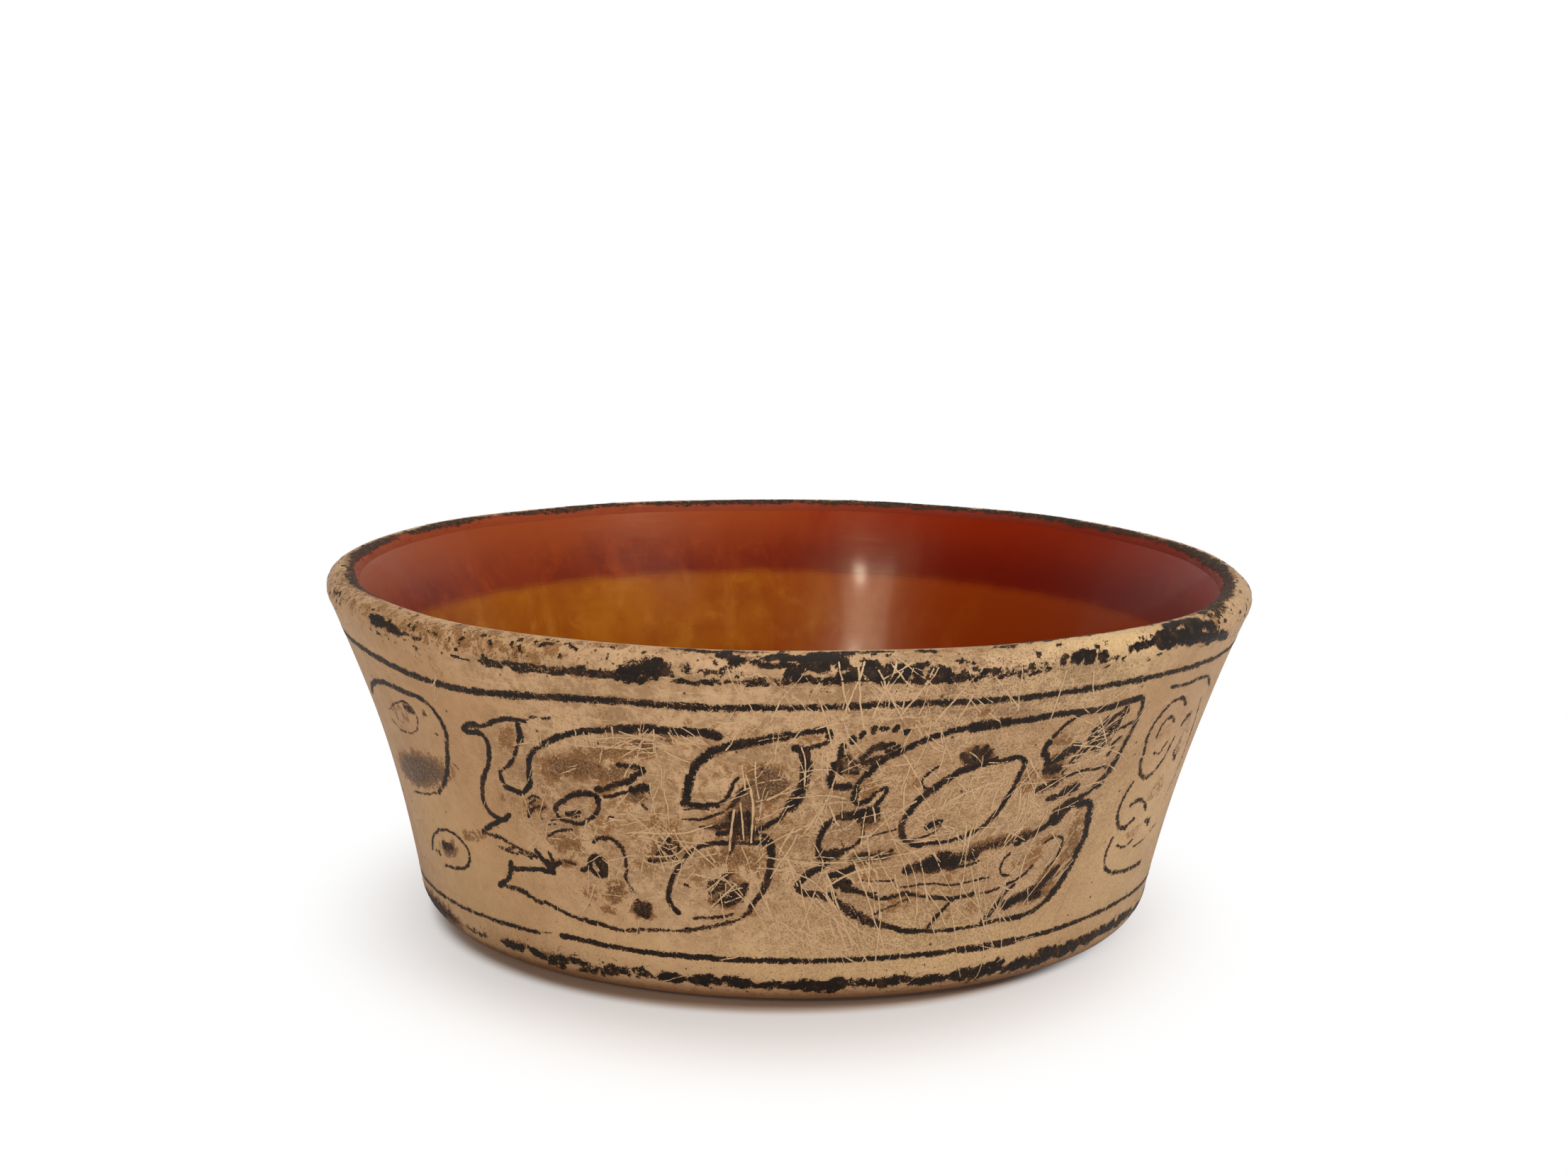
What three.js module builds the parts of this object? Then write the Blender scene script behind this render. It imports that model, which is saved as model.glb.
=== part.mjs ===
// A flaring pottery bowl, coil built. A floor slab carries coils that are luted together on bevelled joints,
// the clay body wears three coats of slip, and black bands are brushed over the outer coat.
// Millimetres, +Z up, origin on the axis at the flat underside.
import * as THREE from "three";

// Clay body
const rimRadius = 99.4; // widest line of the lip
const bodyHeight = 74.2; // underside to the top of the lip
const wallThickness = 6.4; // square to the face, and the width of the rounded lip
const rimLean = 23.3; // degrees that the wall leans out of upright just under the lip
const footLean = 11.5; // degrees that it leans where it leaves the rounded foot
const footRounding = 8.6;
const floorThickness = 6.6;
const floorRounding = 12; // hollow corner between the floor and the wall, inside

// Coils
const wallCoils = 5; // of one height, between the slab and the rim coil
const slabEdgeHeight = 4; // outer edge of the joint between the slab and the first coil
const rimCoilHeight = 12.7; // outside, from its joint to the top of the lip
const jointRise = 4.5; // a joint's inner edge lies this much higher than its outer edge

// Coats of slip
const slipThickness = 0.4;
const slipEdgeHeight = 1.4; // the outer coat stops here, above the bare underside
const redBandWidth = 14.7; // height from the inner edge of the lip down to the orange coat

// Black paint over the outer coat
const paintThickness = 0.2;
const footBandHeight = 5.1;
const footBandWidth = 2.8;
const lowerLineHeight = 10.8;
const upperLineDrop = 10.4; // below the top of the lip
const lineWidth = 1.3;
const lipBandDrop = 5.6; // the band round the lip starts this far below its top, outside

// Layers and coils lie this far apart, so that no two solids share a face
const layerGap = 0.02;

// Fineness of the round shapes
const turns = 48;
const footSteps = 4;
const floorSteps = 4;
const lipSteps = 6;

const finishes = {
  clay: { color: 0x8f5f40, roughness: 0.9, metalness: 0 },
  cream: { color: 0xbf9f78, roughness: 0.62, metalness: 0 },
  red: { color: 0x7c2c12, roughness: 0.28, metalness: 0 },
  orange: { color: 0xa85f12, roughness: 0.28, metalness: 0 },
  black: { color: 0x241c18, roughness: 0.5, metalness: 0 },
};

const { sin, cos, asin, PI } = Math;
const radians = (degrees) => (degrees * PI) / 180;
const steepness = (share) => asin(Math.max(-1, Math.min(1, share)));
const lipRadius = wallThickness / 2;
const lean = { foot: radians(footLean), rim: radians(rimLean) };

// The outer wall is one arc, hollow to the outside. Its ends are where the foot and the lip take over.
const footEnd = footRounding * (1 - sin(lean.foot));
const lipStart = {
  r: rimRadius - lipRadius * (1 - cos(lean.rim)),
  z: bodyHeight - lipRadius * (1 + sin(lean.rim)),
};
const wallArc = (lipStart.z - footEnd) / (sin(lean.rim) - sin(lean.foot));
const arcCentre = {
  r: lipStart.r + wallArc * cos(lean.rim),
  z: lipStart.z - wallArc * sin(lean.rim),
};
const restRadius = arcCentre.r - (wallArc + footRounding) * cos(lean.foot);

// Inside, a fillet joins the flat floor to the wall.
const innerArc = wallArc + wallThickness;
const filletHeight = floorThickness + floorRounding;
const filletLean = steepness((filletHeight - arcCentre.z) / (innerArc + floorRounding));
const floorRadius = arcCentre.r - (innerArc + floorRounding) * cos(filletLean);
const filletEnd = filletHeight - floorRounding * sin(filletLean);

// The lip is a half round that starts and ends square to the wall.
const lipCentre = {
  r: lipStart.r - lipRadius * cos(lean.rim),
  z: lipStart.z + lipRadius * sin(lean.rim),
};
const lipInnerHeight = lipCentre.z + lipRadius * sin(lean.rim);

const range = (count) => Array.from({ length: count }, (_, i) => i);
const ascending = (heights) => [...new Set(heights)].sort((a, b) => a - b);

// A point of the clay body's section, moved out of the clay by `out`, which a coat on it needs.
function outerPoint(z, out) {
  if (z < footEnd) {
    const angle = steepness(z / footRounding - 1);
    const reach = footRounding + out;
    return new THREE.Vector2(restRadius + reach * cos(angle), footRounding + reach * sin(angle));
  }
  const angle = steepness((z - arcCentre.z) / wallArc);
  const reach = wallArc - out;
  return new THREE.Vector2(arcCentre.r - reach * cos(angle), arcCentre.z + reach * sin(angle));
}

function innerPoint(z, out) {
  if (z < filletEnd) {
    const angle = steepness((z - filletHeight) / floorRounding);
    const reach = floorRounding - out;
    return new THREE.Vector2(floorRadius + reach * cos(angle), filletHeight + reach * sin(angle));
  }
  const angle = steepness((z - arcCentre.z) / innerArc);
  const reach = innerArc + out;
  return new THREE.Vector2(arcCentre.r - reach * cos(angle), arcCentre.z + reach * sin(angle));
}

function lipPoint(step, out) {
  const angle = (PI * step) / lipSteps - lean.rim;
  const reach = lipRadius + out;
  return new THREE.Vector2(lipCentre.r + reach * cos(angle), lipCentre.z + reach * sin(angle));
}

// The first joint is where the bottom coil sits on the edge of the slab, and the last is the rim coil's.
// The coils between them share the height. Each joint has an outer and an inner height.
const coilHeight = (bodyHeight - rimCoilHeight - slabEdgeHeight) / wallCoils;
const joints = range(wallCoils + 1).map((i) => {
  const outer = slabEdgeHeight + i * coilHeight;
  return { outer, inner: i === 0 ? floorThickness : outer + jointRise };
});

const redBandFoot = lipInnerHeight - redBandWidth;
const footBand = [footBandHeight - footBandWidth / 2, footBandHeight + footBandWidth / 2];
const lowerLine = [lowerLineHeight - lineWidth / 2, lowerLineHeight + lineWidth / 2];
const upperLineHeight = bodyHeight - upperLineDrop;
const upperLine = [upperLineHeight - lineWidth / 2, upperLineHeight + lineWidth / 2];
const lipBandFoot = bodyHeight - lipBandDrop;

// Every piece takes its corners from these heights, so that neighbours lie flat on each other.
const footHeights = range(footSteps + 1).map((i) => {
  const angle = -PI / 2 + ((PI / 2 - lean.foot) * i) / footSteps;
  return footRounding * (1 + sin(angle));
});
const outerHeights = ascending([
  ...footHeights,
  ...joints.map((joint) => joint.outer),
  slipEdgeHeight,
  ...footBand,
  ...lowerLine,
  ...upperLine,
  lipBandFoot,
]);
const floorHeights = range(floorSteps + 1).map((i) => {
  const angle = -PI / 2 + ((PI / 2 + filletLean) * i) / floorSteps;
  return filletHeight + floorRounding * sin(angle);
});
const innerHeights = ascending([
  ...floorHeights.filter((z) => z < filletEnd),
  ...joints.map((joint) => joint.inner),
  redBandFoot,
]);

const between = (heights, low, high) => [low, ...heights.filter((z) => z > low && z < high), high];
const outerFace = (low, high, out = 0) =>
  between(outerHeights, low, high).map((z) => outerPoint(z, out));
const innerFace = (low, high, out = 0) =>
  between(innerHeights, low, high).map((z) => innerPoint(z, out));
const lipFace = (out = 0) => range(lipSteps + 1).map((i) => lipPoint(i, out));
const downwards = (points) => [...points].reverse();

// Turns a section, drawn up the outside and down the inside, about the bowl's axis.
function turned(name, finish, section) {
  const onAxis = section[0].x === 0;
  const outline = onAxis ? section : [...section, section[0].clone()];
  const geometry = new THREE.LatheGeometry(outline, turns).rotateX(PI / 2);
  const mesh = new THREE.Mesh(geometry, new THREE.MeshStandardMaterial(finishes[finish]));
  mesh.name = name;
  return mesh;
}

function floorSlab() {
  return turned("floor_slab", "clay", [
    new THREE.Vector2(0, 0),
    ...outerFace(0, joints[0].outer),
    innerPoint(floorThickness, 0),
    new THREE.Vector2(0, floorThickness),
  ]);
}

function wallCoil(number) {
  const below = joints[number - 1];
  const above = joints[number];
  return turned(`wall_coil_${number}`, "clay", [
    ...outerFace(below.outer + layerGap, above.outer),
    ...downwards(innerFace(below.inner + layerGap, above.inner)),
  ]);
}

function rimCoil() {
  const below = joints[wallCoils];
  return turned("rim_coil", "clay", [
    ...outerFace(below.outer + layerGap, lipStart.z).slice(0, -1),
    ...lipFace(),
    ...downwards(innerFace(below.inner + layerGap, lipInnerHeight)).slice(1),
  ]);
}

// A coat is the strip between a face of the section and the same face further out.
const coat = (face, back, front) => [...face(front), ...downwards(face(back))];

function outerCreamSlip() {
  const face = (out) => [
    ...outerFace(slipEdgeHeight, lipStart.z, out).slice(0, -1),
    ...lipFace(out),
  ];
  return turned("outer_cream_slip", "cream", coat(face, layerGap, layerGap + slipThickness));
}

function innerRedSlip() {
  const face = (out) => downwards(innerFace(redBandFoot + layerGap, lipInnerHeight - layerGap, out));
  return turned("inner_red_slip", "red", coat(face, layerGap, layerGap + slipThickness));
}

function innerOrangeSlip() {
  const wall = (out) => downwards(innerFace(floorThickness, redBandFoot, out));
  const centre = (out) => new THREE.Vector2(0, floorThickness + out);
  const back = layerGap;
  const front = layerGap + slipThickness;
  return turned("inner_orange_slip", "orange", [
    centre(back),
    ...downwards(wall(back)),
    ...wall(front),
    centre(front),
  ]);
}

const paintBack = slipThickness + 2 * layerGap;
const paintFront = paintBack + paintThickness;

function paintedRing(name, [low, high]) {
  return turned(name, "black", coat((out) => outerFace(low, high, out), paintBack, paintFront));
}

function lipBlackBand() {
  const face = (out) => [
    ...outerFace(lipBandFoot, lipStart.z, out).slice(0, -1),
    ...lipFace(out),
  ];
  return turned("lip_black_band", "black", coat(face, paintBack, paintFront));
}

function assembly(...meshes) {
  const group = new THREE.Group();
  group.add(...meshes);
  return group;
}

const clayBody = assembly(
  floorSlab(),
  ...range(wallCoils).map((i) => wallCoil(i + 1)),
  rimCoil(),
);
const slipCoats = assembly(outerCreamSlip(), innerRedSlip(), innerOrangeSlip());
const blackPaint = assembly(
  paintedRing("foot_black_band", footBand),
  paintedRing("lower_black_line", lowerLine),
  paintedRing("upper_black_line", upperLine),
  lipBlackBand(),
);

const bowl = assembly(clayBody, slipCoats, blackPaint);

export default bowl;
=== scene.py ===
# Dresses the pottery bowl: clay, slips, black bands, brushed figures, washes and rootlet marks.
import math

import bpy
import numpy as np
from mathutils import Matrix, Vector


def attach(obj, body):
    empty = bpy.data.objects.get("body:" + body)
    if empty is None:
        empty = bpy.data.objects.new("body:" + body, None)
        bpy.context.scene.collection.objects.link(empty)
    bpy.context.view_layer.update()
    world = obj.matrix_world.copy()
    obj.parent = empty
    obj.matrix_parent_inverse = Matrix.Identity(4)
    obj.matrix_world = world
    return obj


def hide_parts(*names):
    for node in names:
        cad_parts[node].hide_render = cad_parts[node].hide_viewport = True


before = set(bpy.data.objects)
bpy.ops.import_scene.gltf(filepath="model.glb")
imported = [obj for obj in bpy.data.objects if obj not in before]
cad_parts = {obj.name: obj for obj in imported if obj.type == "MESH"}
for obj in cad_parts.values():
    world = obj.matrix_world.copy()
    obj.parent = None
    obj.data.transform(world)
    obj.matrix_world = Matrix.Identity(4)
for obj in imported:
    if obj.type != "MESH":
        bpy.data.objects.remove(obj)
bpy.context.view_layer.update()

# Sizes are in millimetres until a mesh is made of them.
MM = 0.001

# Section of the clay body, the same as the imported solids'
RIM_RADIUS = 99.4
BODY_HEIGHT = 74.2
WALL = 6.4
RIM_LEAN = math.radians(23.3)
FOOT_LEAN = math.radians(11.5)
FOOT_ROUNDING = 8.6
FLOOR = 6.6
FLOOR_ROUNDING = 12.0
WALL_COILS = 5
SLAB_EDGE = 4.0
RIM_COIL_HEIGHT = 12.7
JOINT_RISE = 4.5
SLIP = 0.4
SLIP_EDGE = 1.4
RED_BAND = 14.7
GAP = 0.02

# A film of paint stands this far proud of the slip, and a rootlet mark a little further.
PAINT_FILM = 0.05
MARK_FILM = 0.09
FILM_DEPTH = 0.07

# Figures are drawn on the unrolled wall: x runs along it at this radius, from the front, and z up.
UNROLL_RADIUS = 88.0
HALF_TURN = math.pi * UNROLL_RADIUS

# The rest of the section follows from these sizes. Arcs carry the wall, the foot and the lip.
LIP_HALF = WALL / 2
FOOT_END = FOOT_ROUNDING * (1 - math.sin(FOOT_LEAN))
LIP_START_R = RIM_RADIUS - LIP_HALF * (1 - math.cos(RIM_LEAN))
LIP_START_Z = BODY_HEIGHT - LIP_HALF * (1 + math.sin(RIM_LEAN))
WALL_ARC = (LIP_START_Z - FOOT_END) / (math.sin(RIM_LEAN) - math.sin(FOOT_LEAN))
ARC_R = LIP_START_R + WALL_ARC * math.cos(RIM_LEAN)
ARC_Z = LIP_START_Z - WALL_ARC * math.sin(RIM_LEAN)
REST_RADIUS = ARC_R - (WALL_ARC + FOOT_ROUNDING) * math.cos(FOOT_LEAN)
INNER_ARC = WALL_ARC + WALL
FILLET_Z = FLOOR + FLOOR_ROUNDING
FILLET_LEAN = math.asin((FILLET_Z - ARC_Z) / (INNER_ARC + FLOOR_ROUNDING))
FLOOR_RADIUS = ARC_R - (INNER_ARC + FLOOR_ROUNDING) * math.cos(FILLET_LEAN)
FILLET_END = FILLET_Z - FLOOR_ROUNDING * math.sin(FILLET_LEAN)
LIP_R = LIP_START_R - LIP_HALF * math.cos(RIM_LEAN)
LIP_Z = LIP_START_Z + LIP_HALF * math.sin(RIM_LEAN)
LIP_INNER_Z = LIP_Z + LIP_HALF * math.sin(RIM_LEAN)
RED_FOOT = LIP_INNER_Z - RED_BAND
COIL_HEIGHT = (BODY_HEIGHT - RIM_COIL_HEIGHT - SLAB_EDGE) / WALL_COILS


def smooth(low, high, value):
    """Rises softly from 0 at low to 1 at high."""
    t = np.clip((np.asarray(value, float) - low) / (high - low), 0, 1)
    return t * t * (3 - 2 * t)


def outer_radius(z, out=0.0):
    """Radius of the outside at a height, moved out of the clay by out."""
    z = np.asarray(z, float)
    foot = np.arcsin(np.clip((z - FOOT_ROUNDING) / (FOOT_ROUNDING + out), -1, 1))
    wall = np.arcsin(np.clip((z - ARC_Z) / WALL_ARC, -1, 1))
    lip = np.sqrt(np.clip((LIP_HALF + out) ** 2 - (z - LIP_Z) ** 2, 0, None))
    radius = ARC_R - (WALL_ARC - out) * np.cos(wall)
    radius = np.where(z < FOOT_END, REST_RADIUS + (FOOT_ROUNDING + out) * np.cos(foot), radius)
    return np.where(z > LIP_START_Z, LIP_R + lip, radius)


def inner_point(z, out):
    """A point of the inside of the wall, moved out of the clay, square to its face."""
    lean = math.asin((z - ARC_Z) / INNER_ARC)
    reach = INNER_ARC + out
    return ARC_R - reach * math.cos(lean), ARC_Z + reach * math.sin(lean)


def heights(low, high, step):
    """Evenly spaced heights from low to high, about a step apart."""
    return np.linspace(low, high, max(2, round((high - low) / step) + 1))


def outer_face(low, high, out, step):
    return [(float(outer_radius(z, out)), z) for z in heights(low, high, step)]


def fillet_point(z, out):
    """A point of the hollow corner round the floor. The corner moves up and in by out."""
    angle = math.asin(max(-1, (z - FILLET_Z) / FLOOR_ROUNDING))
    reach = FLOOR_ROUNDING - out
    return FLOOR_RADIUS + reach * math.cos(angle), FILLET_Z + reach * math.sin(angle)


def inner_face(low, high, out, step):
    points = [fillet_point(z, out) for z in heights(low, high, step) if z < FILLET_END]
    return points + [inner_point(z, out) for z in heights(low, high, step) if z >= FILLET_END]


def lip_face(out, steps):
    """The half round of the lip, from the outside over the top to the inside."""
    angles = [math.pi * i / steps - RIM_LEAN for i in range(steps + 1)]
    reach = LIP_HALF + out
    return [(LIP_R + reach * math.cos(a), LIP_Z + reach * math.sin(a)) for a in angles]


# What the potter's hand left. The belly of the wall swells out by these on its left and right.
SWELL_LEFT, SWELL_RIGHT = -0.45, 0.25
# Waves in the wall: how far out, where they are strong, how many, their slant and their start
WALL_WAVES = [(0.20, "lip", 2, 0, 0.6), (0.10, "belly", 5, 1 / 13, 1.0),
              (0.07, "belly", 9, -1 / 7, 2.2), (0.05, "lip", 17, 1 / 5, 0.0)]
# Waves in the height of the lip: how far up, how many and their start
LIP_WAVES = [(0.22, 3, 0.8), (0.08, 11, 0.0)]
# The foot stands this far off the axis. What lies within the smaller radius stays as it is.
FOOT_OFF = -0.45
SHAPED_FROM, SHAPED_TO = 20, 70
# The sides start this far round, as a sine, and the lip at this share of the height.
SIDE_FROM, LIP_FROM = 0.2, 0.6


def hand_built(x, y, z):
    """Moves points of the true form by what the hand left, the same for clay, slip and paint."""
    angle = np.arctan2(x, -y)
    share = np.clip(z / BODY_HEIGHT, 0, 1)
    belly = np.sin(np.pi * share) ** 2
    left, right = (smooth(SIDE_FROM, 1, side * np.sin(angle)) for side in (-1, 1))
    swell = SWELL_LEFT * belly * left + SWELL_RIGHT * belly * right
    for amount, place, count, slant, start in WALL_WAVES:
        strength = belly if place == "belly" else share
        swell += amount * strength * np.sin(count * angle + slant * z + start)
    radius = np.hypot(x, y)
    near_wall = smooth(SHAPED_FROM, SHAPED_TO, radius)
    factor = 1 + near_wall * swell / np.maximum(radius, 1)
    rise = sum(amount * np.sin(count * angle + start) for amount, count, start in LIP_WAVES)
    lift = smooth(LIP_FROM, 1, share) * near_wall * rise
    lean = FOOT_OFF * (1 - share) * near_wall
    return x * factor + lean, y * factor, z + lift


def reshape(piece):
    """Applies hand_built to a finished mesh. Returns its points as they were, in millimetres."""
    mesh = piece.data
    points = np.empty(len(mesh.vertices) * 3)
    mesh.vertices.foreach_get("co", points)
    points = points.reshape(-1, 3) / MM
    mesh.vertices.foreach_set("co", np.stack(hand_built(*points.T), -1).ravel() * MM)
    mesh.update()
    return points


def deselect():
    if bpy.context.object and bpy.context.object.mode != "OBJECT":
        bpy.ops.object.mode_set(mode="OBJECT")
    bpy.ops.object.select_all(action="DESELECT")


# Points nearer than this become one, and edges less steep than this look rounded.
SAME_POINT = 0.004
SMOOTH_ANGLE = math.radians(40)


def turned(name, section, steps):
    """Draws a section point by point and turns it about the bowl's axis into a closed shell."""
    deselect()
    r, z = section[0]
    bpy.ops.mesh.primitive_plane_add(size=MM, location=(0, 0, 0))
    piece = bpy.context.object
    piece.name = piece.data.name = name
    bpy.ops.object.mode_set(mode="EDIT")
    bpy.ops.mesh.merge(type="CENTER")
    bpy.ops.transform.translate(value=(r * MM, 0, z * MM))
    for (r0, z0), (r1, z1) in zip(section, section[1:]):
        step = ((r1 - r0) * MM, 0, (z1 - z0) * MM)
        bpy.ops.mesh.extrude_vertices_move(TRANSFORM_OT_translate={"value": step})
    bpy.ops.object.mode_set(mode="OBJECT")
    bpy.ops.object.transform_apply(location=True, rotation=False, scale=False)
    bpy.ops.object.modifier_add(type="SCREW")
    turn = piece.modifiers[-1]
    turn.steps = turn.render_steps = steps
    turn.use_merge_vertices, turn.merge_threshold = True, SAME_POINT * MM
    bpy.ops.object.modifier_apply(modifier=turn.name)
    bpy.ops.object.mode_set(mode="EDIT")
    bpy.ops.mesh.select_all(action="SELECT")
    bpy.ops.mesh.remove_doubles(threshold=SAME_POINT * MM)
    bpy.ops.mesh.normals_make_consistent(inside=False)
    bpy.ops.object.mode_set(mode="OBJECT")
    bpy.ops.object.shade_smooth_by_angle(angle=SMOOTH_ANGLE)
    return piece


def coat_section(front, back):
    """A closed section between two faces, both drawn the same way."""
    return front + back[::-1] + front[:1]


def attribute(piece, name, values):
    layer = piece.data.attributes.new(name, "FLOAT", "POINT")
    layer.data.foreach_set("value", np.asarray(values, np.float32))


def unrolled(points):
    """Where points lie on the unrolled wall: along it, and up."""
    return UNROLL_RADIUS * np.arctan2(points[:, 0], -points[:, 1]), points[:, 2]


def round_the_lip(points):
    """How far points of the lip lie round its section, from a line on the outside up and over."""
    radius = np.hypot(points[:, 0], points[:, 1])
    turn = np.arctan2(points[:, 2] - LIP_Z, radius - LIP_R) + RIM_LEAN
    below = LIP_BAND_START + (points[:, 2] - LIP_START_Z) / math.cos(RIM_LEAN)
    return np.where(turn > 0, LIP_BAND_START + (LIP_HALF + SLIP) * turn, below)


# How many waves make up a ripple
RIPPLE_WAVES = 14


def ripple(points, size, seed):
    """A smooth random field from about -1 to 1 over the bowl, with bumps of about this size."""
    random = np.random.default_rng(seed)
    directions = random.normal(size=(RIPPLE_WAVES, 3))
    directions /= np.linalg.norm(directions, axis=1)[:, None]
    lengths = size * random.uniform(0.7, 1.6, RIPPLE_WAVES)
    phases = random.uniform(0, 2 * np.pi, RIPPLE_WAVES)
    waves = np.sin(points @ (2 * np.pi * directions / lengths[:, None]).T + phases)
    return waves.sum(1) * math.sqrt(2 / RIPPLE_WAVES) / 2


# Ragged edges are made of ripples of these sizes and strengths, and stray less in height.
RAGGED = ((6, 1.0), (2.4, 0.6), (1.2, 0.35))
STRAY_UP = 0.6


def strayed(points, along, up, reach):
    """Moves places on the unrolled wall about, so that spots read there get ragged edges."""
    def ragged(seed):
        return sum(strength * ripple(points, size, seed + number)
                   for number, (size, strength) in enumerate(RAGGED))
    return along + reach * ragged(1), up + STRAY_UP * reach * ragged(4)


def spots(along, up, table, full=0.55, none=1.25):
    """The strongest of a table's soft spots at each point. The wall closes on itself behind."""
    value = np.zeros(len(along))
    for x, z, half_x, half_z, tilt, strength in table:
        dx = (along - x + HALF_TURN) % (2 * HALF_TURN) - HALF_TURN
        dz = up - z
        c, s = math.cos(math.radians(tilt)), math.sin(math.radians(tilt))
        far = np.hypot((c * dx + s * dz) / half_x, (c * dz - s * dx) / half_z)
        value = np.maximum(value, strength * smooth(none, full, far))
    return value


def shifted(table, by):
    return [(x + by, *rest) for x, *rest in table]


# Brush strokes: width, strength of the ink, then x, z, x, z ... on the unrolled wall
CARTOUCHE = [
    (1.25, 1.0, -108, 51.5, -104, 54, -98, 56, -92, 57, -84, 57, -78, 56.8, -75, 55.8, -73.2, 53.5,
     -72.6, 50.5, -73.5, 47.5, -75, 44.5, -77, 41, -79.5, 38, -83, 35.5),
    (0.9, 0.6, -83, 35.4, -86, 34.5, -92, 33, -100, 31.5),
    (0.8, 0.55, -97, 50.3, -92, 52.5, -86, 54.3, -83, 53.5, -82.5, 51, -85, 48.3, -90, 46.7,
     -95, 46.6, -98, 48), (2.6, 0.8, -85.5, 53, -84.2, 53.1), (1.0, 0.7, -76.7, 49.3, -76.5, 49.3),
    (1.2, 0.6, -78.8, 53.2, -78.5, 53.2), (0.9, 0.5, -72.9, 43.2, -72.6, 43.1),
    (0.9, 0.72, -96, 20, -93, 23.5, -88, 26, -83, 26.8, -79, 25.8, -76.8, 24, -77.5, 21.5,
     -80, 19.5, -85, 18.3, -90, 17.8), (2.2, 0.8, -87.5, 22.6, -84.6, 23),
    (1.4, 0.5, -93, 20, -91.5, 20.2),
]
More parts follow.
